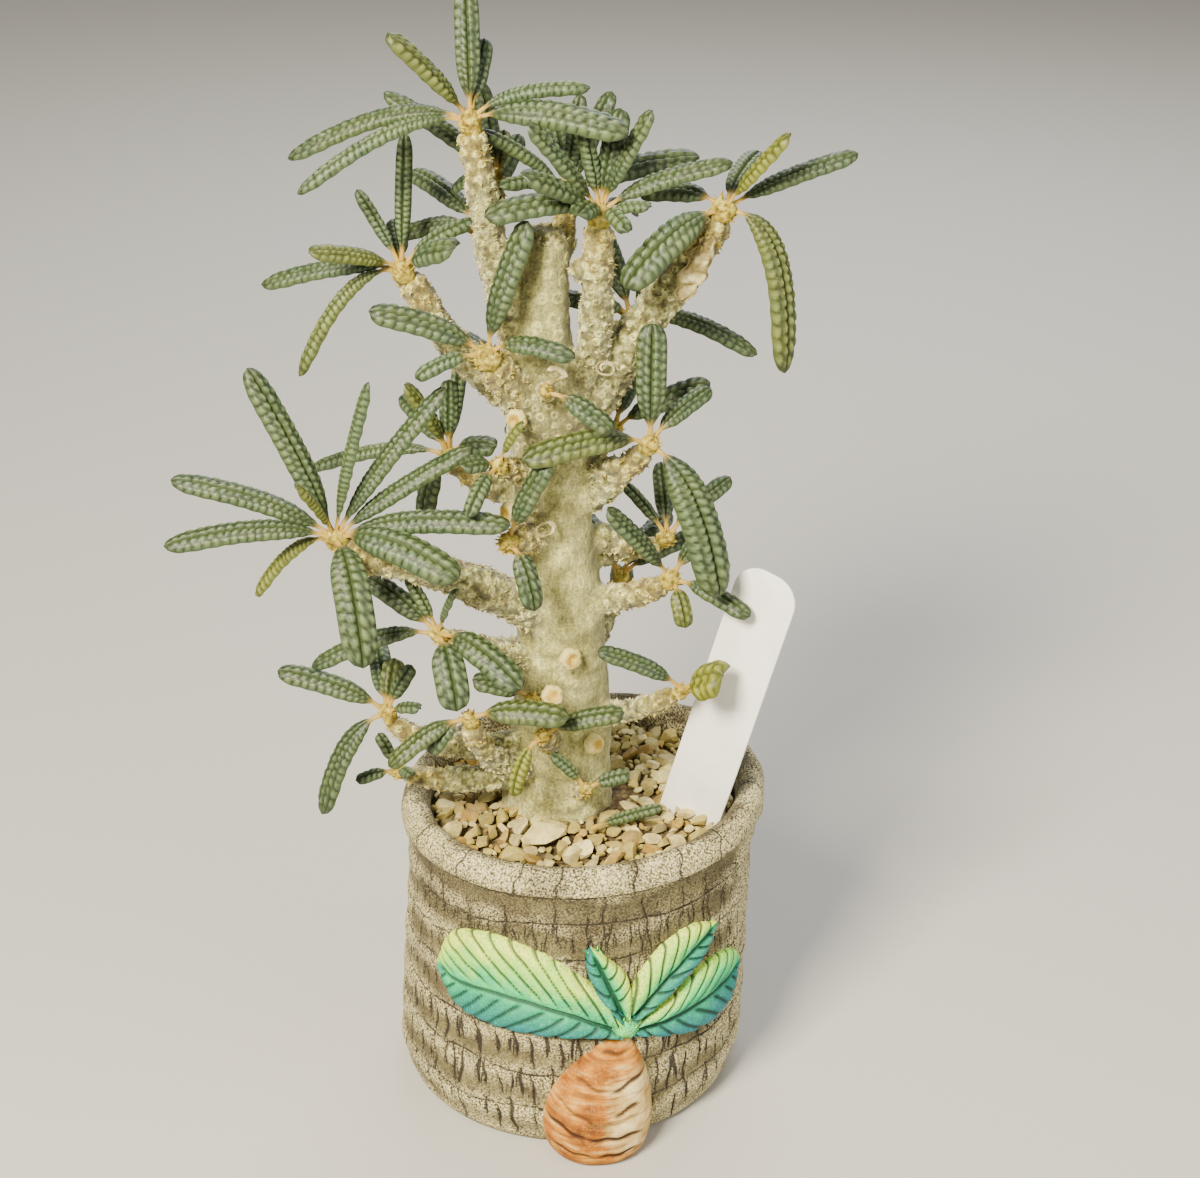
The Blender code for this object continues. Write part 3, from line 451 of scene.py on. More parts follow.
def upright_cracks(around, height):
    """The same for the upright cracks: how far to the right of the nearest one, and half its width."""
    aside, half = np.full(len(around), FAR), np.full(len(around), NO_CRACK)
    nearest = np.full(len(around), FAR)
    rng = random.Random(11)
    round_trip = 2 * math.pi * WALL_MEAN
    for number, (low, high, spacing, width) in enumerate(BANDS):
        near_band = (height > low - 4) & (height < high + 4)
        a, z = around[near_band], height[near_band]
        best, best_aside, best_half = nearest[near_band], aside[near_band], half[near_band]
        count = round(round_trip / spacing)
        for i in range(count):
            middle = (i + rng.uniform(-0.38, 0.38)) * round_trip / count - round_trip / 2
            top = high - rng.uniform(0, 0.35) * (high - low) + rng.uniform(0, 2)
            bottom = low + rng.uniform(-0.1, 0.45) * (high - low)
            slant = rng.uniform(-0.22, 0.06)
            wide = width * rng.uniform(0.4, 1.3)
            sway = rng.uniform(0, 6)
            across = a - middle - slant * (z - low) - 0.35 * np.sin(z * 0.6 + sway)
            across = (across + round_trip / 2) % round_trip - round_trip / 2
            past = np.maximum(0, np.maximum(z - top, bottom - z))
            taper = 1.25 - 0.75 * np.abs(2 * np.clip((z - bottom) / (top - bottom), 0, 1) - 1) ** 2
            gap = np.hypot(across, past)
            near = gap < best
            best = np.where(near, gap, best)
            best_aside = np.where(near, across, best_aside)
            best_half = np.where(near, np.where(gap < 1.4, wide * taper - 0.5 * past, NO_CRACK), best_half)
        nearest[near_band], aside[near_band], half[near_band] = best, best_aside, best_half
    return aside, half


def carve(pot):
    points = points_of(pot)
    x, y, z = points.T
    radius = np.hypot(x, y)
    angle = np.arctan2(x, -y)
    around = angle * WALL_MEAN
    height = z / MM
    outside = (radius > POT_BORE + 4.6 * MM) & (height > 0.2)
    wall = outside * rise(1, 5, height) * (1 - rise(90.5, 92.5, height))
    above, line_half = level_lines(around, height)
    aside, crack_half = upright_cracks(around, height)
    to_line = np.abs(above) / np.maximum(line_half, 0.1)
    to_crack = np.abs(aside) / np.maximum(crack_half, 0.1)
    walled = wall > 0.02
    crack = np.where(walled, np.minimum(to_line, to_crack), FAR)
    band_wave = 2.4 * np.sin(3 * angle + 0.7) + 1.3 * np.sin(7 * angle)
    band = np.sin(2 * math.pi * (height + band_wave) / SWELL_PITCH)
    ridge = np.sin(11 * angle + height / 3.2)
    depth = SWELL_DEPTH * (0.5 + 0.35 * band + 0.15 * ridge)
    coarse, fine = lumps(points, 7 * MM, 1), lumps(points, 1.9 * MM, 2)
    groove = np.exp(-(crack / GROOVE_REACH) ** 2)
    depth += GROOVE_DEPTH * groove - 0.22 * coarse - 0.10 * fine
    foot = outside * (1 - rise(2, 9, height))
    bite = foot * 0.9 * np.abs(lumps(points, 9 * MM, 5))
    lip = (height > LIP_FROM) & (radius > POT_BORE + 0.5 * MM)
    lip_dent = lip * (0.38 * lumps(points, 6 * MM, 3) + 0.15 * lumps(points, 2 * MM, 4))
    wander = 0.5 * np.sin(height * 1.1) + 0.2 * height - 19
    across_lip = (angle[:, None] - LIP_CRACKS) * WALL_MEAN - wander[:, None]
    nearest_crack = np.abs(across_lip).argmin(axis=1)
    lip_aside = across_lip[np.arange(len(angle)), nearest_crack]
    lip_half = np.where(np.abs(lip_aside) < LIP_CRACK_REACH, LIP_CRACK_HALF, NO_CRACK)
    lip_crack = lip * np.exp(-(lip_aside / 0.5) ** 2)
    out = (wall * -depth - bite + lip_dent - 0.25 * lip_crack) * MM
    points[:, 0] += out * np.sin(angle)
    points[:, 1] -= out * np.cos(angle)
    points[:, 2] += np.where(lip, 0.4 * out, 0)
    proud = 0.5 - 0.5 * band - 0.35 * groove + 0.4 * coarse
    lean(points)
    place_points(pot, points)
    aside = np.where(lip, lip_aside, aside)
    crack_half = np.where(lip, lip_half, np.where(walled, crack_half, NO_CRACK))
    line_half = np.where(walled, line_half, NO_CRACK)
    proud = np.where(walled, proud, 0.5)
    left = rise(0.95, 1.45, np.abs(angle + 0.15)) * (1 - rise(2.3, 2.8, np.abs(angle))) * wall
    lip_out = lip * rise(POT_BORE + 3.6 * MM, POT_BORE + 7 * MM, radius)
    crest = lip * rise(POT_BORE + 4 * MM, POT_BORE + 6.5 * MM, radius) * (1 - rise(94, 91, height))
    # The upper front of the wall and the neck under the lip are less dry brushed: painted shade.
    shaded = wall * (1 - rise(0.35, 1.1, np.abs(angle - 0.1))) * rise(25, 60, height)
    neck = wall * rise(64, 80, height) * (1 - left)
    worn = 0.8 * lip * lumps(points, 7 * MM, 6)
    edge = foot * 0.8 + 0.95 * left + 0.7 * crest - 0.22 * lip - 0.3 * shaded - 0.35 * neck + worn
    inner = lip - lip_out + (radius < POT_BORE + 0.5 * MM)
    # Darker inside the mouth and on the neck under the lip: partly grime, partly painted shade.
    grime = inner + 0.22 * neck - 0.6 * worn
    store(pot, aside=aside, crack_half=crack_half, above=above, line_half=line_half,
          proud=proud, edge=np.clip(edge, -1, 1), grime=np.clip(grime, 0, 1))


def lean(points):
    """The thrown pot leans a little to the right, and its right side stands a little higher."""
    share = points[:, 2] / POT_HEIGHT
    points[:, 2] += POT_RISE_TO_RIGHT * points[:, 0] * share
    points[:, 0] += POT_LEAN * share * POT_HEIGHT


carve(pot)
smooth(pot, 75)

# %% [markdown]
# Stained stoneware is rough and dull, with an index near 1.5. Its colour comes in layers: a grey-brown body,
# a dark stain that pools in cracks and pits, and cream paint dragged over the high places with a nearly dry
# brush. The stain's grain is under a millimetre, so it is drawn as noise of about 0.6 mm. Painted shade
# also darkens the upper front of the wall, the neck under the lip and the inside of the mouth, with some
# grime.

# %% Stained stoneware
clay, add, shader = new_material("stoneware, stained and dry brushed", 0.88, IOR=1.5)
gaps = []
for place, size in (("aside", "crack_half"), ("above", "line_half")):
    place = add("Attribute", attribute_name=place)
    size = add("Attribute", attribute_name=size)
    place = add("Math", (place,), operation="ABSOLUTE")
    gaps.append(add("Math", (place, size), operation="SUBTRACT"))
crack = add("Math", gaps, operation="MINIMUM")
proud, edge, grime = (
    add("Attribute", attribute_name=name) for name in ("proud", "edge", "grime"))
patches = add("TexNoise", {"Scale": 55, "Detail": 4})  # 18 mm, the kiln's clouds
grain = add("TexNoise", {"Scale": 1700, "Detail": 3})  # 0.6 mm, sand in the clay
smear = add("TexNoise", {"Scale": 260, "Detail": 5, "Roughness": 0.65})  # 4 mm, a brush's smears
body = add("ValToRGB", {"Fac": patches}, [(0.32, "#50472a"), (0.5, "#675e39"), (0.7, "#7c734b")])
near = add("MapRange", (crack, 1.3, 0.1, 0, 0.26))
# More stain inside the mouth and under the lip: partly grime, partly painted shade.
damp = add("Math", (near, grime), operation="ADD")
damp = add("Math", (smear, damp), operation="SUBTRACT")
stain = add("MapRange", (grain, 0.62, 0.42))
pool = add("MapRange", (damp, 0.7, 0.2))
dark = add("Math", (stain, pool), operation="MULTIPLY")
dark = add("Math", (dark, 0.95), operation="MULTIPLY")
stained = add("Mix", (dark, body, "#2b2216"))
brush = add("Math", (proud, smear), operation="ADD")
# edge holds the brush back on the upper front and under the lip: painted shade.
brush = add("Math", (brush, edge), operation="ADD")
brush = add("MapRange", (brush, 0.5, 1.6, 0.05, 0.92))
grit_mask = add("MapRange", (grain, 0.42, 0.6))
brush = add("Math", (brush, grit_mask), operation="MULTIPLY")
brushed = add("Mix", (brush, stained, "#dbd1a0"))
cracked = wash(add, brushed, "#1f1812", crack, 0.16, -0.06, 0.92)
cut = add("MapRange", (crack, -0.1, 0.35))
cut_bump = add("Bump", (cut, 0.5 * MM, 0.9))
coat(shader, cracked, add("Bump", (grain, 0.35 * MM, 0.55, cut_bump)))
dress(pot, clay)

# %% [markdown]
# ## The painted ornament
#
# Four clay leaves and a bulb are pressed on the pot's front and coloured with an airbrush, from lime on their
# upper edges to turquoise below. Each leaf starts as a flat grid. Its columns run from edge to edge and its
# rows from root to tip, both bent round the wall, so a vein is a groove at a known place in the grid. The
# outlines are the ones that the solid pot was made from.

# %% Places on the wall
RELIEF_LEAVES = {  # mm round the pot from its front, and height: midrib, upper edge, lower edge and tip
    "left": (
        [(14.5, 43), (6, 47.5), (-3, 51.5), (-14, 54.5), (-26, 55.5), (-38, 54.5)],
        [(13.5, 47.5), (8, 57), (-3, 67), (-14, 72.5), (-28, 75), (-42, 70)],
        [(13.5, 41), (7, 42), (-4, 42.5), (-14, 43), (-26, 43.5), (-39, 46)],
        (-48.5, 56)),
    "middle": (
        [(15, 46), (12, 54), (9, 61), (6, 68)],
        [(16.5, 47), (16.5, 56), (14.5, 63), (9, 69)],
        [(13.5, 47), (8.5, 53), (4.5, 61), (2.5, 68)],
        (3.5, 74)),
    "upper_right": (
        [(16.5, 47), (23, 54), (30, 60), (38, 65)],
        [(15, 49), (18, 61), (26, 69.5), (36, 72.5)],
        [(18.5, 46), (27, 51), (35, 56.5), (42, 61)],
        (47.5, 68.5)),
    "lower_right": (
        [(16.5, 43.5), (28, 43), (41, 44), (55, 45)],
        [(18, 45.5), (30, 50), (42, 56), (56, 54)],
        [(18, 41), (28, 37.5), (41, 34), (56, 35)],
        (66, 45)),
}
BLUNT = 0.985  # where a leaf ends short of its outline's tip, so that the tip is round
RELIEF_EDGE, RELIEF_SWELL, RELIEF_MIDRIB, RELIEF_TIP = 0.6, 3.3, 2.1, -0.4  # mm proud of the wall
RELIEF_THICKNESS, VEIN_SPACING, RIB_DEPTH, VEIN_DEPTH = 2.2, 5.4, 1.2, 1.0  # mm
VEIN_HALF_WIDTH, RIB_HALF_WIDTH, RIM_TUCK = 0.62, 0.75, 1.6  # mm


def through(knots, share):
    """A smooth curve through the knots, at shares of its length from 0 to 1."""
    knots = np.array(knots, float)
    ends = np.vstack([2 * knots[0] - knots[1], knots, 2 * knots[-1] - knots[-2]])
    at = np.clip(share, 0, 1) * (len(knots) - 1)
    k = np.minimum(at.astype(int), len(knots) - 2)
    t = (at - k)[:, None]
    before, start, stop, after = ends[k], ends[k + 1], ends[k + 2], ends[k + 3]
    return 0.5 * (2 * start + (stop - before) * t + (2 * before - 5 * start + 4 * stop - after) * t ** 2
                  + (3 * start - before - 3 * stop + after) * t ** 3)


def on_wall(across, height, proud):
    """Points from millimetres round the front of the pot, millimetres up it and millimetres out of it."""
    radius = np.interp(height * MM, WALL_HEIGHTS, WALL_RADII)
    angle = across * MM / radius
    out = radius + proud * MM
    points = np.stack([out * np.sin(angle), -out * np.cos(angle), height * MM], axis=1)
    lean(points)
    return points


# %% The four clay leaves
def relief_leaf(side, midrib, upper, lower, tip):
    leaf = start(
        "pot_leaf_" + side, bpy.ops.mesh.primitive_grid_add, x_subdivisions=96, y_subdivisions=46, size=2)
    flat = points_of(leaf)
    along = (flat[:, 0] + 1) / 2 * 1.02 - 0.01
    across = flat[:, 1] * 1.05
    reach = np.clip(along, 0, 1) * BLUNT
    share = np.clip(across, -1, 1)
    spine = through(midrib + [tip], reach)
    high = through(upper + [tip], reach)
    low = through(lower + [tip], reach)
    edge = np.where(share[:, None] > 0, high, low)
    half = np.hypot(*(edge - spine).T)
    length = np.hypot(*np.diff(np.array(midrib + [tip]), axis=0).T).sum()
    vein_run = reach * length - 0.9 * np.abs(share) * half + 1.3 * np.sin(reach * 7.3 + 3 * (share > 0))
    vein_run = vein_run + 0.4 * np.sin(reach * 19) + VEIN_SPACING / 2
    to_vein = np.abs(vein_run % VEIN_SPACING - VEIN_SPACING / 2)
    vein = np.exp(-(to_vein / VEIN_HALF_WIDTH) ** 2) * rise(0.04, 0.25, np.abs(share))
    vein = vein * (1 - 0.3 * np.abs(share))
    rib = np.exp(-(share * half / RIB_HALF_WIDTH) ** 2) * (1 - 0.4 * reach)
    notch = 1 - 0.014 * np.exp(-(to_vein / 0.9) ** 2) * np.abs(share)
    place = spine + (edge - spine) * (np.abs(share) * notch)[:, None]
    inner = RELIEF_MIDRIB + (RELIEF_SWELL - RELIEF_MIDRIB) * rise(0, 0.5, np.abs(share))
    rounded = np.sqrt(np.clip(1 - np.abs(2 * np.abs(share) - 1) ** 2.4, 0, 1))
    outer = RELIEF_EDGE + (RELIEF_SWELL - RELIEF_EDGE) * rounded
    swell = np.where(np.abs(share) < 0.5, inner, outer)
    swell = RELIEF_TIP + (swell - RELIEF_TIP) * (1 - 0.75 * reach ** 5)
    open_blade = rise(1, 3, half)
    proud = swell - (RIB_DEPTH * rib + VEIN_DEPTH * vein) * open_blade
    rim = np.maximum(rise(1.0, 1.04, np.abs(across)), rise(1, 1.008, along))
    rim = np.maximum(rim, rise(0, -0.008, along))
    uneven = 0.3 * lumps(np.stack([place[:, 0], place[:, 1], 0 * reach], axis=1), 3.2, 8)
    proud = proud + uneven - RIM_TUCK * rim
    place_points(leaf, on_wall(place[:, 0], place[:, 1], proud))
    cool = 0.5 - 0.5 * share + {"left": 0.06 - 0.12 * reach, "lower_right": 0.16}.get(side, 0.0)
    groove = np.maximum(rib, 0.85 * vein) * open_blade
    deep = 0.75 * (1 - rise(0.02, 0.4, reach)) + 0.5 * rise(0.75, 1.0, np.abs(share))
    store(leaf, tint=np.clip(cool, 0, 1), groove=np.clip(groove, 0, 1), deep=deep)
    face_outwards(leaf)
    apply(leaf, "SOLIDIFY", thickness=RELIEF_THICKNESS * MM, offset=-1)
    smooth(leaf, 60)
    return leaf


pot_leaves = [relief_leaf(side, *shape) for side, shape in RELIEF_LEAVES.items()]
outward = sum(normals_of(pot_leaves[0])[:100, 1])
print("clay leaves:", [leaf.name for leaf in pot_leaves], "facing", round(outward, 1))

# %% [markdown]
# The bulb is a sphere that follows the bulb's measured widths, flat underneath and behind, with eight strokes
# of a modelling tool pressed across its front.

# %% The bulb and the knot above it
BULB_FOOT = np.array([8.8, -50.5, 0])
BULB_SHIFT = 6.5
BULB_HEIGHT, BULB_HALF_WIDTH, BULB_DEPTH, BULB_BACK = 41, 16.8, 15, 50
BULB_WIDTHS = [  # share of the height, share of the full width
    (0, 0.80), (0.07, 0.91), (0.16, 0.97), (0.26, 1), (0.36, 0.99), (0.47, 0.95), (0.57, 0.88), (0.67, 0.79),
    (0.78, 0.64), (0.88, 0.46), (0.96, 0.26), (1, 0.12),
]
STROKES = [  # the ends of each stroke or half of a bent one, in mm to the right and up, and its depth
    ((10.2, 37.0), (19.2, 37.4), 0.7), ((1.9, 30.4), (13.2, 27), 0.7), ((13.2, 27), (23.7, 30), 1.0),
    ((14.2, 19.5), (21.8, 21.8), 1.0), ((8, 16.6), (21.8, 17.9), 0.6), ((-4.2, 23.3), (13.9, 15.2), 0.6),
    ((-6.4, 16.2), (6, 12), 1.0), ((6, 12), (23, 11.4), 1.1), ((-4.9, 7.2), (9, 4.6), 0.8),
    ((9, 4.6), (21.5, 5.3), 1.0), ((9, 33.4), (20, 33.0), 0.35),
]
STROKE_HALF_WIDTH = 0.75
KNOT_PLACE, KNOT_RADIUS = (15.5, 44, -1), 4.4 * MM  # mm round the pot, up it and out of it


def stroke_depth(x, z):
    """How deep the tool pressed at points of the bulb's front, in mm."""
    depth = np.zeros(len(x))
    z = z + 0.35 * np.sin(x * 0.9)
    for (x0, z0), (x1, z1), pressed in STROKES:
        run = np.array([x1 - x0, z1 - z0])
        share = np.clip(((x - x0) * run[0] + (z - z0) * run[1]) / (run @ run), 0, 1)
        off = np.hypot(x - x0 - share * run[0], z - z0 - share * run[1])
        taper = 1 - 0.6 * (2 * share - 1) ** 4
        depth = np.maximum(depth, pressed * taper * np.exp(-(off / STROKE_HALF_WIDTH) ** 2))
    return depth


def shape_bulb():
    bulb = start("pot_bulb", bpy.ops.mesh.primitive_uv_sphere_add, segments=128, ring_count=96, radius=1)
    unit = points_of(bulb)
    share = (unit[:, 2] + 1) / 2
    around = np.arctan2(unit[:, 1], unit[:, 0])
    swell = np.interp(share, *np.array(BULB_WIDTHS).T)
    closing = np.minimum(1, np.hypot(unit[:, 0], unit[:, 1]) / 0.3)
    swell *= closing
    x = BULB_FOOT[0] + BULB_SHIFT * share ** 3 + BULB_HALF_WIDTH * swell * np.cos(around)
    z = BULB_HEIGHT * share
    front = np.sin(around) < 0
    pressed = stroke_depth(x, z) * front
    uneven = 0.45 * lumps(np.stack([x, 0 * x, z], axis=1), 6, 9) * closing
    y = BULB_FOOT[1] + (BULB_DEPTH * swell + uneven - pressed) * np.sin(around)
    behind = -np.sqrt(np.maximum(BULB_BACK ** 2 - (x - POT_LEAN * z) ** 2, 0))
    y = np.minimum(y, behind)
    place_points(bulb, np.stack([x, y, z], axis=1) * MM)
    patch = lumps(np.stack([x, 0 * x, z], axis=1), 8, 12)
    cream = rise(9.5, 17, x + 2 * patch) * (1 - rise(29, 33, z + 2 * patch)) * rise(1, 7, z)
    store(bulb, groove=np.clip(pressed, 0, 1), cream=np.clip(cream * 0.9 + 0.18 * patch, 0, 1))
    smooth(bulb, 70)
    return bulb


def shape_knot():
    middle = on_wall(*np.array(KNOT_PLACE, float)[:, None])[0]
    knot = start(
        "pot_knot", bpy.ops.mesh.primitive_ico_sphere_add,
        subdivisions=4, radius=KNOT_RADIUS, location=middle)
    bpy.ops.object.transform_apply(location=True, rotation=False, scale=False)
    points = points_of(knot)
    points += normals_of(knot) * (0.5 * MM * lumps(points, 3 * MM, 6))[:, None]
    place_points(knot, points)
    smooth(knot, 70)
    return knot


bulb = shape_bulb()
knot = shape_knot()

# %% Airbrushed clay
# Paint blown on fired clay: dull, with one colour drifting into the next.
leaf_glaze, add, shader = new_material("stoneware, airbrushed lime to turquoise", 0.72, IOR=1.5)
tint, groove, deep = (
    add("Attribute", attribute_name=name) for name in ("tint", "groove", "deep"))
drift = add("TexNoise", {"Scale": 130, "Detail": 3})  # 8 mm, the airbrush's drift
spray = add("TexNoise", {"Scale": 1500, "Detail": 2})  # 0.7 mm, coarser than real spray, so that it shows
shift = add("MapRange", (drift, 0, 1, -0.26, 0.26))
level = add("Math", (tint, shift), operation="ADD")
paint = add("ValToRGB", {"Fac": level}, [
    (0.0, "#dcf250"), (0.2, "#a2e652"), (0.4, "#34cc78"),
    (0.6, "#00986c"), (0.8, "#007f70"), (1.0, "#007280")])
misted = wash(add, paint, "#a9f2b0", spray, 0.55, 0.75, 0.18)
speckle = add("MapRange", (spray, 0.56, 0.34, 0, 0.75))
sooty = add("MapRange", (deep, 0, 1, 0.35, 1.1))
shade = add("Math", (speckle, sooty), operation="MULTIPLY", use_clamp=True)
misted = add("Mix", (shade, misted, "#126042"))
veined = wash(add, misted, "#06301f", groove, 0.08, 0.5, 0.9)
kneaded = add("TexNoise", {"Scale": 420, "Detail": 2})  # 2.4 mm, dents of the fingers
knead_bump = add("Bump", (kneaded, 0.9 * MM, 0.6))
coat(shader, veined, add("Bump", (spray, 0.25 * MM, 0.5, knead_bump)))
for leaf in pot_leaves:
    dress(leaf, leaf_glaze)

# The same paint, but streaked sideways, as on the skin of a bulb.
bulb_glaze, add, shader = new_material("stoneware, airbrushed terracotta and cream", 0.85, IOR=1.4)
cream, groove = (add("Attribute", attribute_name=name) for name in ("cream", "groove"))
drift = add("TexNoise", {"Scale": 160, "Detail": 4})  # 6 mm, the airbrush's drift
spray = add("TexNoise", {"Scale": 1400, "Detail": 2})  # 0.7 mm, coarser than real spray, so that it shows
warm = add("ValToRGB", {"Fac": drift}, [(0.3, "#733f08"), (0.5, "#a8650c"), (0.72, "#cd9230")])
pale = add("ValToRGB", {"Fac": drift}, [(0.3, "#a98642"), (0.52, "#d2b575"), (0.72, "#efdfa9")])
flat = add("Mapping", {"Scale": (0.35, 0.35, 3.2)})  # level streaks, nine times as long as high
streak = add("TexNoise", {"Vector": flat, "Scale": 190, "Detail": 5, "Roughness": 0.6})  # 15 mm by 1.6
drawn = add("MapRange", (streak, 0.3, 0.7, -0.55, 0.55))
cream = add("Math", (cream, drawn), operation="ADD")
skin = wash(add, warm, pale, cream, 0.05, 0.8)
misted = wash(add, skin, "#efc87e", spray, 0.55, 0.75, 0.25)
streaked = wash(add, misted, "#5f3311", streak, 0.47, 0.33, 0.66)
stroked = wash(add, streaked, "#2c1407", groove, 0.2, 0.75, 0.94)
coat(shader, stroked, add("Bump", (spray, 0.25 * MM, 0.5)))
dress(bulb, bulb_glaze)
even = np.ones(len(knot.data.vertices))
store(knot, tint=0.35 * even, deep=0.9 * even)
dress(knot, leaf_glaze)

# %% [markdown]
# ## The gritty mix
#
# Dorstenia grows on bare rock, so it is potted in sharp grit: angular pumice, sandstone and quartz of 3 to
# 10 mm. A particle system would scatter stones, but they would be instances and would not leave Blender as
# geometry. Here one icosphere is stretched and chipped by four to ten random planes for each stone. The
# stones are joined in three meshes, on a plug that fills the pot.

# %% The plug under the stones
rng = random.Random(4)
GRIT_EDGE, GRIT_MOUND, GRIT_FOOT = 92.5, 4, 8.3  # mm
PLUG_RADIUS = 46.7


def grit_level(x, y):
    """The height of the mix in mm, from places in mm: a low mound round the stem."""
    return GRIT_EDGE + GRIT_MOUND * (1 - np.hypot(x, y) / 47)


def spin_plug():
    outline = [(0, GRIT_FOOT), (20, GRIT_FOOT), (PLUG_RADIUS - 3, GRIT_FOOT), (PLUG_RADIUS, GRIT_FOOT + 3)]
    outline += [(PLUG_RADIUS, 30), (PLUG_RADIUS, 60), (PLUG_RADIUS, 88)]
    outline += [(radius, 91) for radius in np.arange(46, 0, -1.5)] + [(0, 91)]
    plug = spin("grit_plug", [(radius * MM, height * MM) for radius, height in outline], 140)
    points = points_of(plug)
    top = points[:, 2] > 90 * MM
    x, y, _ = points.T / MM
    level = grit_level(x, y) - 2.2 + 0.9 * lumps(points, 2.5 * MM, 21)
    points[top, 2] = level[top] * MM
    lean(points)
    place_points(plug, points)
    smooth(plug, 40)
    return plug


plug = spin_plug()

# %% Where the stones lie
STEM_MIDDLE, STEM_RADIUS = Vector((-2.5, 0)), 16.6  # mm, at the height of the mix
LABEL_MIDDLE, LABEL_TURN = Vector((37.5, -13.5)), math.radians(-30)
FLAT_STONE = (-11.5, -24.5, 6.0)  # the large flat pale one in front: x, y and radius, in mm


def room_for(x, y, radius, taken, crowding):
    """Whether a stone fits there, clear of the stem, the label and the stones already down."""
    if (Vector((x, y)) - STEM_MIDDLE).length < STEM_RADIUS + 0.55 * radius:
        return False
    if math.hypot(x, y) > PLUG_RADIUS - 0.75 * radius:
        return False
    away = Vector((x, y)) - LABEL_MIDDLE
    along = away.x * math.cos(LABEL_TURN) + away.y * math.sin(LABEL_TURN)
    beside = away.y * math.cos(LABEL_TURN) - away.x * math.sin(LABEL_TURN)
    if abs(along) < 10 + 0.4 * radius and abs(beside) < 0.6 + 0.7 * radius:
        return False
    return all(math.hypot(x - a, y - b) > crowding * (radius + r) for a, b, r in taken)


def scatter(tries, radii, crowding, taken):
    laid = []
    for _ in range(tries):
        out = (PLUG_RADIUS - 1) * math.sqrt(rng.random())
        a = rng.uniform(0, 2 * math.pi)
        x, y = out * math.cos(a), out * math.sin(a)
        radius = radii[0] + (radii[1] - radii[0]) * rng.random() ** 1.7
        if room_for(x, y, radius, taken, crowding):
            laid.append((x, y, radius))
            taken.append(laid[-1])
    return laid


taken = [FLAT_STONE]
large = scatter(1500, (2.6, 4.2), 0.78, taken)
middling = scatter(3600, (1.7, 2.7), 0.76, taken)
small = scatter(7000, (1.0, 1.7), 0.72, taken)
print("stones:", len(large), len(middling), len(small))

# %% Chipping the stones
ball, ball_faces = pattern_from(bpy.ops.mesh.primitive_ico_sphere_add, subdivisions=2, radius=1)
FALLEN = [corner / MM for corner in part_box("fallen_leaf")]
STONE_LENGTH, STONE_CROWDING = 1.12, 1.12  # times its radius, and times its place, so that stones touch


def chipped(stretch, cuts):
    """A unit stone: a ball, stretched and cut flat by random planes, turned at random."""
    stone = ball * (1 + 0.10 * np.array([rng.uniform(-1, 1) for _ in ball]))[:, None]
    for _ in range(cuts):
        way = np.array([rng.gauss(0, 1) for _ in range(3)])
        way /= np.linalg.norm(way)
        beyond = stone @ way - rng.uniform(0.34, 0.66)
        stone -= np.maximum(beyond, 0)[:, None] * way
    stone *= stretch
    tilt = Matrix.Rotation(rng.uniform(-0.5, 0.5), 3, "X") @ Matrix.Rotation(rng.uniform(0, 6.28), 3, "Z")
    return stone @ np.array(tilt)


def lay_stones(name, places):
    points, picks, sheens = [], [], []
    for x, y, radius in places:
        stretch = np.array([STONE_LENGTH, rng.uniform(0.72, 1), rng.uniform(0.55, 0.95)])
        stone = chipped(stretch, rng.randint(6, 10)) * radius * STONE_CROWDING
        level = grit_level(x, y) - 0.9 + rng.uniform(-0.15, 0.4) * radius
        if FALLEN[0][0] - 1 < x < FALLEN[1][0] + 1 and FALLEN[0][1] - 1 < y < FALLEN[1][1] + 1:
            level = min(level, FALLEN[0][2] - 0.2 - stone[:, 2].max() - POT_RISE_TO_RIGHT * x)
        points.append(stone + (x, y, level))
        picks += [rng.random()] * len(ball)
        sheens += [rng.random()] * len(ball)
    return make_stones(name, points, picks, sheens)


def make_stones(name, points, picks, sheens):
    """One mesh of many stones. pick chooses each stone's colour, and sheen its brightness."""
    faces = np.vstack([np.array(ball_faces) + i * len(ball) for i in range(len(points))])
    joined = np.vstack(points) * MM
    lean(joined)
    stones = new_piece(name, joined.tolist(), faces=faces.tolist())
    store(stones, pick=picks, sheen=sheens)
    smooth(stones, 18)
    return stones


grit_large = lay_stones("grit_large", large)
grit_small = lay_stones("grit_small", middling + small)
x, y, radius = FLAT_STONE
flat_points = chipped(np.array([1.3, 0.95, 0.55]), 4) * radius + (x, y, grit_level(x, y) + 1.6)
flat_stone = make_stones("grit_flat_stone", [flat_points], [0.02] * len(ball), [0.9] * len(ball))

# %% [markdown]
# Grit has no single colour. A random number that each stone carries picks it from a palette, pale quartz and
# cream sandstone mostly, with some ochre, pink and grey, and two sizes of noise roughen it.

# %% Crushed stone
stone_paint, add, shader = new_material("crushed pumice, sandstone and quartz", 0.7, IOR=1.5)
pick, sheen = (add("Attribute", attribute_name=name) for name in ("pick", "sheen"))
speck = add("TexNoise", {"Scale": 900, "Detail": 4})  # 1.1 mm, crystals in the stone
cloud = add("TexNoise", {"Scale": 240, "Detail": 3})  # 4 mm, a stone's dusty side
palette = add("ValToRGB", {"Fac": pick}, [
    (0.0, "#c9bd7e"), (0.2, "#a1924b"), (0.38, "#9c7f31"), (0.48, "#94762e"), (0.55, "#b8ac6f"),
    (0.7, "#8b7f48"), (0.78, "#6a6138"), (0.84, "#a58b4a"), (0.88, "#a99a52"), (0.96, "#d4c991")])
palette.node.color_ramp.interpolation = "CONSTANT"
dusty = wash(add, palette, "#89733d", cloud, 0.55, 0.35, 0.55)
bright = add("MapRange", (sheen, 0, 1, 0.8, 1.15))
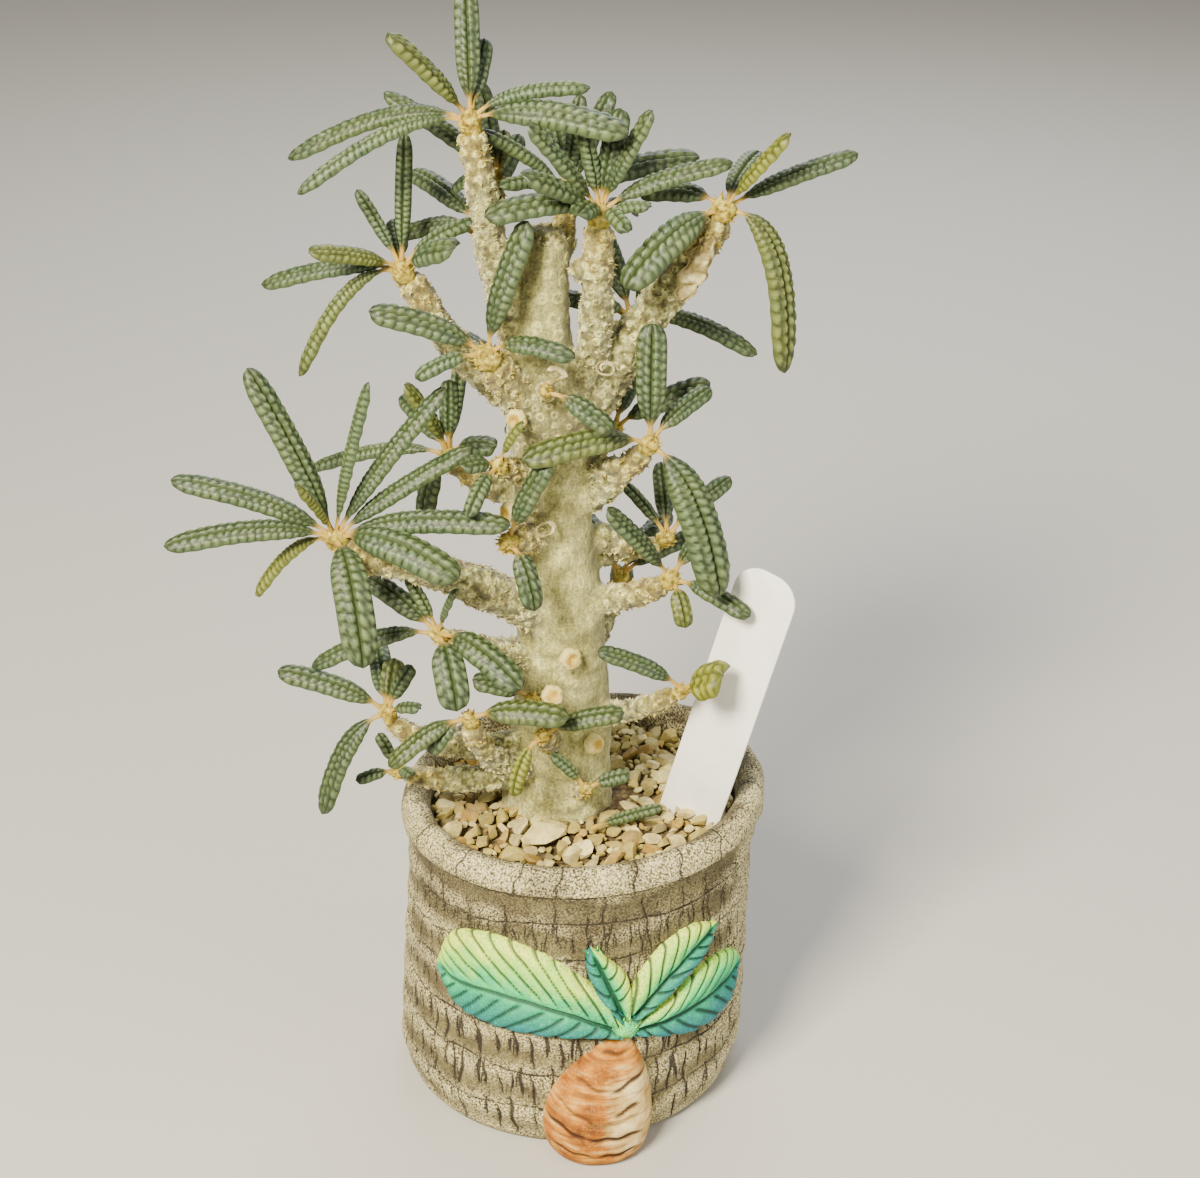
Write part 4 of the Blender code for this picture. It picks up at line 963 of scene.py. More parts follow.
grainy = add("MapRange", (speck, 0.3, 0.7, 0.8, 1.15))
light = add("Math", (bright, grainy), operation="MULTIPLY")
lit = add("HueSaturation", {"Color": dusty, "Value": light})
coat(shader, lit, add("Bump", (speck, 0.4 * MM, 0.5)))
for stones in (grit_large, grit_small, flat_stone):
    dress(stones, stone_paint)

# Dust and painted shade lie dark and quite dull between the stones.
dust_and_shade_paint, add, shader = new_material("grit dust between the stones", 0.95, IOR=1.45)
crumb = add("TexVoronoi", {"Scale": 520})  # 1.9 mm, the finest grit
# The plug is painted darker than any stone: painted shade in the gaps.
dust_and_shade = add("ValToRGB", {"Fac": crumb}, [(0.0, "#796742"), (0.6, "#4d3f25"), (1.0, "#302616")])
coat(shader, dust_and_shade, add("Bump", (crumb, 1.2 * MM, 0.8), invert=True))
dress(plug, dust_and_shade_paint)

# %% [markdown]
# ## The swollen stem
#
# The caudex stores water under a dry felted skin, and every leaf that fell has left a round scar. The young
# branches are nothing but scars, each a small knob with a pit. Sculpting would do it by hand. Here a copy of
# the solid stem is remeshed evenly and rounded, seeds are thrown on it so that no two lie too close, and each
# point learns how far away its nearest seed is. That distance raises the knobs and paints their rings.

# %% A fine, round copy of the stem
STEM = [  # height, middle and radius of the trunk's rounds, in mm
    (64, -2, 11), (78, -2, 15), (90, -2.5, 17.5), (96, -2.8, 16.8), (104, -2.4, 15.8), (114, -2, 15.2),
    (124, -1.9, 14.5), (134, -1.7, 13.8), (147, -1.4, 13.1), (160, -1.2, 12.4), (174, -2.4, 11.3),
    (186, -3.4, 10.8), (199, -3.8, 10.8), (211, -3.4, 12.3), (223, -3.5, 13.2), (231, -4.4, 11.9),
    (239, -6.5, 9.2), (248, -7.2, 8.2), (257, -6.4, 7.9), (266, -5.2, 7.2), (275, -5, 4.2),
]
VOXEL = 0.78 * MM
SMOOTHING = 26
SMOOTHING_LOSS = 0.35 * MM

wood = bpy.data.objects.new("caudex_wood", nodes["caudex"].data.copy())
scene.collection.objects.link(wood)
in_edit_mode(wood, (bpy.ops.mesh.remove_doubles, dict(threshold=1e-6)))
apply(wood, "REMESH", mode="VOXEL", voxel_size=VOXEL)
apply(wood, "SMOOTH", factor=0.5, iterations=SMOOTHING)
print("stem faces:", len(wood.data.polygons))

# %% Scars
stem_heights, stem_middles, stem_radii = np.array(STEM).T * MM
points = points_of(wood)
normals = normals_of(wood)
middle = np.interp(points[:, 2], stem_heights, stem_middles)
girth = np.interp(points[:, 2], stem_heights, stem_radii)
from_axis = np.hypot(points[:, 0] - middle, points[:, 1])
on_branch = np.maximum(rise(1.2, 3.6, (from_axis - girth) / MM), points[:, 2] > 272 * MM)
height = points[:, 2] / MM
REGIONS = [  # which points, how far apart their scars are in mm, and the scars' size
    (on_branch > 0.5, 2.5, 1.0), ((on_branch <= 0.5) & (height > 236), 4.4, 1.7),
    ((on_branch <= 0.5) & (height > 208) & (height <= 236), 2.8, 1.1),
    ((on_branch <= 0.5) & (height <= 208), 5.2, 1.4),
]


def throw_seeds(spots, spacing, rng):
    """Seeds at random spots, none nearer to another than the spacing."""
    order = list(range(len(spots)))
    rng.shuffle(order)
    cells, seeds = {}, []
    for i in order:
        spot = spots[i]
        cell = tuple((spot // spacing).astype(int))
        near = [cells.get((cell[0] + a, cell[1] + b, cell[2] + c), ())
                for a in (-1, 0, 1) for b in (-1, 0, 1) for c in (-1, 0, 1)]
        if all((seed[0] - spot[0]) ** 2 + (seed[1] - spot[1]) ** 2 + (seed[2] - spot[2]) ** 2 > spacing ** 2
               for group in near for seed in group):
            cells.setdefault(cell, []).append(tuple(spot))
            seeds.append(tuple(spot))
    return seeds


rng = random.Random(8)
scar = np.full(len(points), 3.0)
shade = np.zeros(len(points))
bristle_seeds = []
for chosen, spacing, size in REGIONS:
    spots = points[chosen][::3]
    seeds = throw_seeds(spots, spacing * MM, rng)
    tree = tree_of(seeds)
    found = [tree.find(point) for point in points[chosen]]
    bristle_seeds = bristle_seeds or seeds
    tones = [rng.random() for _ in seeds]
    shade[chosen] = [tones[i] for _, i, _ in found]
    scar[chosen] = [distance / MM / (size * (0.75 + 0.5 * tones[i])) for _, i, distance in found]
    print("scars", spacing, "mm apart:", len(seeds))

swollen = rise(206, 214, height) * (1 - rise(232, 240, height))
knob = np.clip(on_branch + 0.85 * swollen + 0.36 * rise(232, 240, height) + 0.1, 0, 1)
dome = (1 - rise(0.5, 1.3, scar)) - 0.5 * np.exp(-(scar / 0.38) ** 2)
out = 0.6 * knob * dome + 0.35 * lumps(points, 6 * MM, 31)
out += (0.13 + 0.22 * on_branch) * lumps(points, 1.7 * MM, 32)
wrinkled = (1 - on_branch) * rise(0, 0.5, lumps(points, 11 * MM, 34))
fold = 0.35 * wrinkled * np.sin(height * 1.15 + 2.5 * lumps(points, 14 * MM, 33))
points += normals * ((out + fold) * MM + SMOOTHING_LOSS)[:, None]
place_points(wood, points)
store(wood, scar=scar, shade=shade, knob=knob, branch=on_branch)
smooth(wood, 80)

# %% [markdown]
# The skin is a grey-green felt with a dull, chalky look: rough, with a little sheen from its hairs. The
# branches are paler, and their tips, where the dry scales still stand, are golden tan.

# %% Felted bark
felt, add, shader = new_material("felted bark of a succulent stem", 0.9, IOR=1.45, Sheen_Weight=0.25)
shader.inputs["Sheen Roughness"].default_value = 0.6
scar, shade, knob, branch, young = (
    add("Attribute", attribute_name=name) for name in ("scar", "shade", "knob", "branch", "young"))
cloud = add("TexNoise", {"Scale": 150, "Detail": 6, "Roughness": 0.68})  # 7 mm, paler and darker skin
felted = add("TexNoise", {"Scale": 1300, "Detail": 3})  # 0.8 mm, tufts, as single hairs wouldn't show
mottle = add("TexNoise", {"Scale": 420, "Detail": 4})  # 2.4 mm, a scar's width
streak_place = add("Mapping", {"Scale": (1, 1, 0.22)})  # drawn out along the stem
fibre = add("TexNoise", {"Vector": streak_place, "Scale": 900, "Detail": 4})  # 1.1 mm across, 5 along
trunk = add("ValToRGB", {"Fac": cloud}, [
    (0.3, "#6d6933"), (0.45, "#928f50"), (0.58, "#b0ad6c"), (0.72, "#cdcb8b")])
limb = add("ValToRGB", {"Fac": mottle}, [(0.3, "#4a4719"), (0.45, "#918f4a"), (0.6, "#d9da93")])
skin = add("Mix", (branch, trunk, limb))
gold = add("ValToRGB", {"Fac": mottle}, [(0.3, "#695714"), (0.48, "#9d8a2d"), (0.68, "#c4b862")])
tipped = add("Mix", (young, skin, gold))
# Darker in the scars' pits and in the ditches between knobs: painted shade, with the pits' own colour too.
pit = add("MapRange", (scar, 0.45, 0.15))
ditch = add("MapRange", (scar, 0.95, 1.45))
shadow = add("Math", (pit, ditch), operation="MAXIMUM")
shadow = add("Math", (shadow, knob), operation="MULTIPLY")
shadow = add("Math", (shadow, 0.62), operation="MULTIPLY")
shadowed = add("Mix", (shadow, tipped, "#3a3215"))
halo = add("MapRange", (scar, 0.5, 0.75), interpolation_type="SMOOTHSTEP")
outer = add("MapRange", (scar, 1.12, 0.88), interpolation_type="SMOOTHSTEP")
ring = add("Math", (halo, outer), operation="MULTIPLY")
ring = add("Math", (ring, knob), operation="MULTIPLY")
worn = add("MapRange", (mottle, 0.36, 0.6, 0.1, 0.5))
pale = add("Math", (ring, worn), operation="MULTIPLY")
ringed = add("Mix", (pale, shadowed, "#d8d991"))
speck = add("MapRange", (felted, 0.3, 0.7, 0.6, 1.3))
grain = add("MapRange", (fibre, 0.3, 0.7, 0.68, 1.26))
tone = add("MapRange", (shade, 0, 1, 0.9, 1.1))
light = add("Math", (speck, tone), operation="MULTIPLY")
light = add("Math", (light, grain), operation="MULTIPLY")
lit = add("HueSaturation", {"Color": ringed, "Value": light})
scar_bump = add("Bump", (ring, 0.5 * MM, 0.7))
coat(shader, lit, add("Bump", (felted, 0.45 * MM, 1.0, scar_bump)))
dress(wood, felt)

# %% [markdown]
# ## The leaves
#
# A Dorstenia gigas leaf is a stiff dark strap, blistered between its veins like seersucker, with its margins
# rolled under, pale olive below and on a pinkish stalk. Each rosette is listed by where its branch ends and
# by how each leaf leaves it. These are the values that the solid leaves were made from, but for one leaf of
# right_base, so every fine leaf lies on its own solid.

# %% Every rosette
ROSETTES = {  # point before the end, end, end radius and crown length in mm, then a row for each leaf:
    # bearing, climb, reach, width, lift and sometimes roll. Angles in degrees, 0 to the right, 90 to the back
    "top_left": ((-22, -4, 288), (-25, -4, 308), 4, 6, [
        (95, 73, 34, 7, 6), (-150, 48, 33, 8, 10, -25), (165, 44, 30, 6, 12), (176, -14, 50, 6, 38),
        (-171, -22, 49, 5, 36), (4, 13, 32, 5, 35), (-12, -2, 42, 9, 28), (75, 52, 22, 6, 12),
    ]),
    "top_left_side": ((-19, 4, 280), (-18, 9, 287), 2.4, 4, [
        (171, 36, 38, 6, 18), (125, 72, 26, 6, 10), (136, -21, 19, 6, 35), (80, 50, 14, 4.5, 12),
    ]),
    "top_back": ((0, 9, 270), (1, 11, 282), 3, 4, [
        (-160, 40, 31, 5, 20), (-140, 16, 24, 5, 40), (49, 78, 27, 5, 6), (34, 61, 30, 6, 10),
        (14, 12, 38, 8, 25), (100, 35, 32, 7, 20),
    ]),
    "top_middle": ((9, -6, 258), (10, -6, 283), 4, 6, [
        (-154, 52, 33, 7, 10), (-140, 30, 29, 8, 15), (-163, 2, 31, 8, 35), (44, 74, 27, 7, 5),
        (-13, 64, 31, 6, 8), (150, 78, 22, 5, 5), (3, 20, 37, 6, 22), (-30, 15, 15, 4, 12),
        (62, -20, 22, 4, 45), (-60, -8, 14, 5, 45), (-112, 12, 15, 7, 35),
    ]),
    "right_arm": ((33, 2, 262), (45, 0, 282), 4.5, 6, [
        (-31, 51, 29, 7, 6, 25), (10, 20, 38, 6, 12), (-16, -70, 49, 8.5, 70), (-147, -28, 35, 10, 32),
        (156, 2, 24, 7, 35), (70, 10, 33, 7, 25),
    ]),
    "left_upper": ((-39, 7, 250), (-46, 4, 263), 4, 6, [
        (171, -10, 40, 6, 22), (-150, 19, 28, 6, 18, -30), (-174, -47, 42, 5, 55), (145, 53, 24, 4, 8),
        (84, 72, 36, 5, 8), (-40, 27, 22, 9, 22), (28, 24, 24, 5, 30), (100, 25, 19, 6, 12),
    ]),
    "front_stub": ((-15, -9, 232), (-22, -17, 245), 5, 6, [
        (-176, 23, 33, 8, 25), (-164, -14, 19, 5, 35), (14, 72, 38, 8, 12), (-15, 2, 24, 6, 50),
    ]),
    "front_bud": ((-5, -8, 230), (-5, -20, 235), 2.4, 3.5, [
        (-19, -26, 21, 6.5, 22),
    ]),
    "left_inner": ((-15, -12, 208), (-19, -18, 212), 3.2, 4, [
        (-33, 60, 16, 4, 15), (-140, 14, 13, 6, 20), (-120, -31, 18, 5, 35),
    ]),
    "left_back": ((-30, 10, 197), (-35, 10, 204), 3.4, 5, [
        (-158, 62, 26, 6, 15), (86, 76, 21, 6, 10), (-20, 16, 15, 7, 35), (68, 68, 31, 5, 8),
        (167, -12, 43, 5, 28), (-150, -66, 19, 7, 40), (120, 15, 30, 7, 20),
    ]),
    "left_arm": ((-54, -23, 185), (-66, -24, 193), 4, 6, [
        (156, 62, 52, 8, 8), (-12, 76, 48, 5, 6), (15, 52, 52, 6, 10), (10, 32, 45, 6, 12),
        (-6, 7, 49, 7.5, 22), (-24, -8, 38, 10.5, 35), (-68, -55, 37, 11, 64), (177, 20, 47, 7, 22),
        (-170, 1, 46, 7, 26), (-128, 56, 24, 5, 12), (162, -42, 33, 5, 40),
    ]),
    "front_knob": ((-12, -16, 188), (-17, -23, 190), 3.6, 4, [
        (8, 64, 26, 7, 12), (-52, -56, 20, 7, 55),
    ]),
    "left_low": ((-28, -17, 154), (-38, -20, 160), 3.2, 5, [
        (-34, -18, 30, 9, 38), (178, -18, 38, 6, 32), (-70, -46, 23, 10, 54), (157, 32, 25, 7, 15),
        (150, 58, 18, 4, 12), (-50, 62, 19, 5, 10),
    ]),
    "left_lower": ((-49, -22, 129), (-53, -22, 136), 3, 5, [
        (174, 20, 33, 7, 22), (-165, -58, 37, 7, 45), (-35, 22, 13, 4, 20), (25, 58, 15, 5, 12),
        (77, 54, 15, 7, 12), (100, 18, 28, 7, 22),
    ]),
    "left_rim": ((-25, -29, 128), (-28, -33, 140), 3, 5, [
        (-164, -28, 26, 6, 32), (-170, -44, 15, 6, 45), (-7, 4, 28, 8, 25),
    ]),
    "front_low": ((-5, -20, 124), (-7, -29, 131), 2.8, 4, [
        (3, 16, 24, 6.5, 25), (-145, -60, 19, 5, 45),
    ]),
    "front_middle": ((-6, -20, 137), (-10, -29, 143), 2.6, 4, [
        (-172, 24, 18, 6.5, 22),
    ]),
    "grit_arm": ((-45, -12, 107), (-52, -12, 109), 2.8, 4, [
        (-66, 22, 12, 4, 20), (142, 54, 12, 4, 12), (-170, -10, 12, 4, 22),
    ]),
    "base_sprout": ((5, -19, 106), (6, -26, 111), 2.4, 3.5, [
        (178, 49, 15, 4, 15), (12, 14, 13, 5, 20),
    ]),
    "right_middle": ((20, -11, 210), (25, -12, 217), 3.4, 5, [
        (86, 80, 33, 9, 8), (-164, -2, 36, 8.5, 28), (-32, -62, 47, 12, 40), (40, 25, 24, 6, 22),
    ]),
    "right_bud": ((11, 8, 208), (15, 10, 212), 3, 4, [
        (4, 26, 30, 7.5, 20), (70, 30, 24, 6, 20),
    ]),
    "right_low": ((24, -7, 167), (32, -8, 172), 3.6, 5, [
        (-160, 52, 31, 7, 10), (-28, -14, 25, 6, 22), (-66, -50, 14, 6, 40), (55, 18, 25, 6, 22),
    ]),
    "right_back": ((24, 7, 174), (31, 7, 178), 3, 5, [
        (150, 44, 20, 4, 15), (35, 30, 26, 6, 20), (95, 40, 24, 6, 18),
    ]),
    "right_base": ((25, -13, 132), (35, -19, 141), 2.8, 5, [
        (-173, 30, 28, 6, 22), (-38, 34, 16.5, 13, 16),
    ]),
    "back_right": ((15, 22, 234), (20, 27, 240), 3.6, 5, [
        (-6, -16, 37, 6, 40), (-165, 22, 14, 5, 35), (60, 28, 34, 7, 22), (118, 48, 31, 7, 12),
        (20, 55, 26, 6, 10), (165, 8, 28, 6, 24),
    ]),
    "back_left": ((-19, 12, 256), (-25, 20, 270), 3.2, 5, [
        (170, -10, 22, 6, 30), (128, 14, 33, 7, 24), (62, 40, 31, 7, 14), (90, 70, 26, 6, 8),
    ]),
    "back_arm": ((-6, 34, 192), (-7, 46, 204), 3.8, 6, [
        (90, 15, 38, 8, 26), (38, 22, 40, 7, 22), (142, 24, 39, 7, 22), (178, 35, 30, 6, 16),
        (5, 40, 31, 6, 14), (72, 66, 33, 7, 8), (-62, 70, 26, 6, 8), (112, -35, 36, 9, 45),
    ]),
    "back_low": ((13, 32, 141), (17, 40, 150), 3.2, 5, [
        (62, 12, 34, 7, 26), (12, 25, 30, 6, 20), (118, 20, 31, 7, 22), (160, 42, 24, 6, 14),
        (-30, 58, 22, 5, 10), (88, -38, 30, 8, 42),
    ]),
}
YOUNG = {  # how yellow and olive a young or dying leaf is, by its rosette and row
    ("left_rim", 2): 0.2, ("left_rim", 0): 0.15, ("left_inner", 0): 0.5, ("front_low", 1): 0.75,
    ("right_base", 1): 0.85, ("top_left", 1): 0.45, ("top_left", 2): 0.2, ("left_upper", 1): 0.4,
    ("left_upper", 2): 0.3, ("right_arm", 0): 0.7, ("right_arm", 2): 0.35, ("left_arm", 9): 0.6,
    ("left_arm", 10): 0.6, ("right_middle", 1): 0.3, ("right_low", 2): 0.45, ("left_lower", 4): 0.3,
    ("top_left_side", 3): 0.5, ("left_back", 0): 0.4, ("front_low", 0): 0.1,
}
LIGHT = Vector((0, -0.85, 0.5))
STALK_LENGTH, STALK_SHARE, STALK_RADIUS = 4.4, 0.22, 1.0  # mm, share of the leaf, mm
ROOT_OFFSET, HEART_DEPTH, BLADE_ARCH = 0.4, 0.45, 0.36
print("rosettes:", len(ROSETTES), "leaves:", sum(len(leaves) for *_, leaves in ROSETTES.values()))

# %% [markdown]
# The blade is a flat grid again, which a formula bends along the leaf's arch. Across the blade it is a low
# arch with a sunken midrib and rolled margins. The blisters stand in two rows on each side of the midrib, or
# in one on a narrow leaf. A texture could bump them, but their outline shows against the light, so they are
# real. A solidify step then gives the blade its 0.55 mm and puts the underside's own material below.

# %% One leaf
BLADE_THICKNESS = 0.55 * MM
BLISTER = 2.4  # mm from one blister to the next
BLISTER_HEIGHT = 0.8  # mm
STEP_ALONG = 0.64  # mm
LEAF_ARCH, MIDRIB_SINK, MIDRIB_SHARE, MARGIN_ROLL = 0.26, 0.20, 0.11, 0.16  # shares of the half width


def leaf_path(heart, end_radius, leaf, share):
    """Points along a leaf's arch in mm, with the blade's side and its upper side at each."""
    bearing, climb, reach, _, lift, *roll = leaf
    outward = Vector((math.cos(math.radians(bearing)), math.sin(math.radians(bearing)), 0))
    rising = [math.radians(a) for a in (climb, climb + lift)]
    chord, first = [outward * math.cos(a) + Vector((0, 0, math.sin(a))) for a in rising]
    root = heart + first * end_radius * ROOT_OFFSET
    control = root + first * reach * BLADE_ARCH
    end = root + chord * reach
    sideways = Vector((0, 0, 1)).cross(outward)
    points, sides, ups = [], [], []
    for t in share.tolist():
        points.append((1 - t) ** 2 * root + 2 * t * (1 - t) * control + t ** 2 * end)
        ahead = ((1 - t) * (control - root) + t * (end - control)).normalized()
        if roll:
            side = Matrix.Rotation(math.radians(roll[0]), 3, ahead) @ sideways
        else:
            side = (ahead.cross(sideways) + LIGHT).cross(ahead).normalized()
        sides.append(side)
        ups.append(ahead.cross(side))
    return np.array(points), np.array(sides), np.array(ups)


def blade_outline(share, half, stalk):
    """Half the blade's width in mm along it: a stalk, a wedge at the foot and a round tip."""
    u = np.clip((share - stalk) / (1 - stalk), 0, 1)
    wedge = 1 - (1 - np.minimum(u / 0.56, 1)) ** 2.8
    tip = np.sqrt(np.clip(1 - np.clip((u - 0.66) / 0.34, 0, 1) ** 5, 0, 1))
    neck = STALK_RADIUS * (1 - 0.3 * np.minimum(share / stalk, 1))
    return np.maximum(half * wedge * tip, neck * tip)


def blister_seeds(reach, half, spacing, rng):
    """Places along the leaf and across it, in mm, one for each blister: two rows a side on a wide leaf."""
    seeds = []
    for side in (-1, 1):
        for number, share in enumerate((0.28, 0.75) if half > 2.6 else (0.5,)):
            run = (0.5 * number + rng.uniform(-0.2, 0.2)) * spacing
            while run < reach + spacing:
                seeds.append((run, side * (share + rng.uniform(-0.07, 0.07)) * half))
                run += spacing * rng.uniform(0.8, 1.2)
    return np.array(seeds)


def blisters(along, beside, half, spacing, seeds):
    """How near each point is to a blister's top, and its painted light and shade, from 0 in a furrow to 1."""
    slanted = along - 0.3 * np.abs(beside) * half
    gaps = np.hypot(slanted[:, None] - seeds[:, 0], 0.8 * (beside[:, None] * half - seeds[:, 1]))
    nearest, second = np.partition(gaps, 1, axis=1)[:, :2].T
    top = np.clip((second - nearest) / (0.62 * spacing), 0, 1) ** 0.85
    swollen = rise(0.02, 0.12, np.abs(beside)) * (1 - rise(0.88, 0.99, np.abs(beside)))
    return top * swollen, np.maximum(top * swollen, 0.45 * (1 - swollen))


def shape_leaf(name, heart, end_radius, leaf, young, rng):
    reach, width = leaf[2], leaf[3]
    half = width / 2
    size = min(max(half / 4, 0.68), 1)
    rows = max(20, round(reach / STEP_ALONG / max(size, 0.8)))
    columns = 14 if half > 3.1 else 12
    blade = start(name, bpy.ops.mesh.primitive_grid_add, x_subdivisions=rows, y_subdivisions=columns, size=2)
    flat = points_of(blade)
    steps = np.linspace(0, 1, rows + 1)
    row = np.rint((flat[:, 0] + 1) / 2 * rows).astype(int)
    stalk = min(STALK_LENGTH / reach, STALK_SHARE)
    points, sides, ups = (part[row] for part in leaf_path(heart, end_radius, leaf, steps))
    share, t = steps[row], flat[:, 1]
    wide = blade_outline(share, half, stalk)
    on_blade = rise(stalk * 0.8, stalk * 1.5, share)
    seeds = blister_seeds(reach, half, BLISTER * size, rng)
    top, pale = blisters(share * reach, t, half, BLISTER * size, seeds)
    fade = on_blade * np.clip((1 - share) * reach / 2.0, 0, 1) * np.clip(wide / half * 1.4 - 0.4, 0, 1)
    arch = LEAF_ARCH - MIDRIB_SINK * np.exp(-(t / MIDRIB_SHARE) ** 2) - 0.5 * np.abs(t) ** 3.2
    rolled = MARGIN_ROLL * rise(0.86, 1, np.abs(t))
    low_foot = 0.65 + 0.35 * rise(0.12, 0.35, share)
    bulge = BLISTER_HEIGHT * size * low_foot * top * fade
    z = wide * ((arch - rolled) * on_blade + (0.5 - 0.9 * t ** 2) * (1 - on_blade)) + bulge
    x = wide * np.clip(t / 0.93, -1, 1) * 0.965
    wavy = 0.16 * np.sin(share * reach * 1.5 + rng.uniform(0, 6)) * rise(0.5, 1, np.abs(t)) * on_blade
    place_points(blade, (points + x[:, None] * sides + (z + wavy)[:, None] * ups) * MM)
    # Painted light on the blister tops and painted shade in the furrows.
    blister = np.clip(pale * (0.55 + 0.45 * low_foot * fade), 0, 1)
    rib = np.exp(-(t / 0.13) ** 2) * on_blade
    on_stalk = 1 - rise(stalk * 0.8, stalk * 1.7 + 0.02, share)
    store(blade, blister=blister, rib=rib, stalk=on_stalk, young=np.full(len(t), young))
    return blade

# %% [markdown]
# Where the leaves meet, the branch ends in a crown of dry golden scales. It is a sphere drawn out along the
# branch and roughened, with small pointed scales set round it between the stalks.

# %% One crown
thorn, thorn_faces = pattern_from(
    bpy.ops.mesh.primitive_cone_add, vertices=5, radius1=0.62, radius2=0.05, depth=2.6, location=(0, 0, 1.0))
SCALES = 22
CROWN_SHARE = 0.78  # of its branch's radius


def shape_crown(name, before, end, end_radius, crown, rng):
    way = (end - before).normalized()
    turn = way.to_track_quat("Z", "Y").to_matrix()
    bud = start(name, bpy.ops.mesh.primitive_uv_sphere_add, segments=26, ring_count=18, radius=1)
    unit = points_of(bud)
    stretch = np.array([end_radius * CROWN_SHARE, end_radius * CROWN_SHARE, crown / 2 + 0.9])
    middle = end - way * (crown / 2 - 0.2)
    points = (unit * stretch) @ np.array(turn).T + np.array(middle)
    points += unit @ np.array(turn).T * (0.5 * lumps(points, 1.4, 41) + 0.3 * lumps(points, 3, 42))[:, None]
    place_points(bud, points * MM)
    scales, faces = [], []
    for i in range(SCALES):
        a = 2.4 * i + rng.uniform(-0.3, 0.3)
        lift = rng.uniform(-0.2, 0.97)
        ring = math.sqrt(1 - lift ** 2)
        seat = Vector((ring * math.cos(a), ring * math.sin(a), lift))
        facing = turn @ Vector((seat.x, seat.y, seat.z + rng.uniform(0.4, 1.2))).normalized()
        aim = np.array(facing.to_track_quat("Z", "Y").to_matrix())
        spot = np.array(turn) @ (np.array(seat) * stretch * 0.9) + np.array(middle)
        broad, thick, tall = rng.uniform(0.9, 1.5), rng.uniform(0.45, 0.7), rng.uniform(0.6, 1.1)
        flake = thorn * (broad, thick, tall * end_radius / 4.2)
        scales.append(flake @ aim.T + spot)
        faces += [[k + i * len(thorn) for k in face] for face in thorn_faces]
    cluster = new_piece(name + "_scales", (np.vstack(scales) * MM).tolist(), faces=faces)
    store(bud, scale=np.zeros(len(unit)))
    store(cluster, scale=np.tile(np.clip(thorn[:, 2] / 2, 0, 1), SCALES))
    return [bud, cluster]


# %% [markdown]
# The leaf's upper face is satin and dark. Its blisters are painted lighter and its furrows and sunken midrib
# darker, as painted light and shade. Old leaves are dark green, and a young one is olive. The lower face is
# pale olive with a cream midrib.

# %% Leaf materials
blade_green, add, shader = new_material("blistered leaf, satin upper face", 0.48, IOR=1.5)
shader.inputs["Specular IOR Level"].default_value = 0.4
blister, rib, stalk, young = (
    add("Attribute", attribute_name=name) for name in ("blister", "rib", "stalk", "young"))
drift = add("TexNoise", {"Scale": 120, "Detail": 3})  # 8 mm, one part younger than the next
felted = add("TexNoise", {"Scale": 1500, "Detail": 2})  # 0.7 mm, as single hairs wouldn't show
# Painted highlight on the blister tops and painted shade in the furrows, in both ramps.
old = add("ValToRGB", {"Fac": blister}, [
    (0.0, "#151d0d"), (0.3, "#27351d"), (0.6, "#3e5035"), (1.0, "#5c6f4c")])
new = add("ValToRGB", {"Fac": blister}, [
    (0.0, "#343809"), (0.3, "#4f5312"), (0.6, "#6a6e1e"), (1.0, "#8a8b34")])
white = add("MapRange", (felted, 0.54, 0.72, 0, 0.08))
shift = add("MapRange", (drift, 0.35, 0.7, 0, 0.16))
olive = add("Math", (young, shift), operation="ADD", use_clamp=True)
green = add("Mix", (olive, old, new))
# Pale hairs only on the blister tops: partly hairs, partly a painted highlight.
hairs = add("Math", (white, blister), operation="MULTIPLY")
green = add("Mix", (hairs, green, "#b6bf84"))
# The sunken midrib is painted darker: painted shade.
ribbed = add("Math", (rib, 0.55), operation="MULTIPLY")
veined = add("Mix", (ribbed, green, "#39441f"))
stalked = add("Mix", (stalk, veined, "#a98b3a"))
coat(shader, stalked, add("Bump", (felted, 0.2 * MM, 0.35)))

blade_under, add, shader = new_material("blistered leaf, pale lower face", 0.6, IOR=1.45)
blister, rib, stalk = (add("Attribute", attribute_name=name) for name in ("blister", "rib", "stalk"))
under = add("ValToRGB", {"Fac": blister}, [(0.0, "#797f3c"), (0.6, "#5c6427"), (1.0, "#4e5721")])
ribbed = add("Mix", (rib, under, "#c2bd84"))
stalked = add("Mix", (stalk, ribbed, "#a98b3a"))
coat(shader, stalked)

# Dry membranes are dull, and golden where they stand proud.
crown_scales, add, shader = new_material("dry golden bud scales", 0.8, IOR=1.45)
scale = add("Attribute", attribute_name="scale")
fleck = add("TexNoise", {"Scale": 620, "Detail": 4})  # 1.6 mm, a scale's width
gold = add("ValToRGB", {"Fac": fleck}, [
    (0.3, "#54450f"), (0.46, "#8c7c24"), (0.6, "#b0a245"), (0.75, "#cfc47c")])
dry = add("Mix", (scale, gold, "#b3973f"))
coat(shader, dry, add("Bump", (fleck, 0.5 * MM, 0.7)))

# %% All the rosettes
def thicken(blades):
    """Gives flat blades their thickness, with the lower face's own material."""
    dress(blades, blade_green, blade_under)
    apply(blades, "SOLIDIFY", thickness=BLADE_THICKNESS, offset=-1, material_offset=1, material_offset_rim=0)


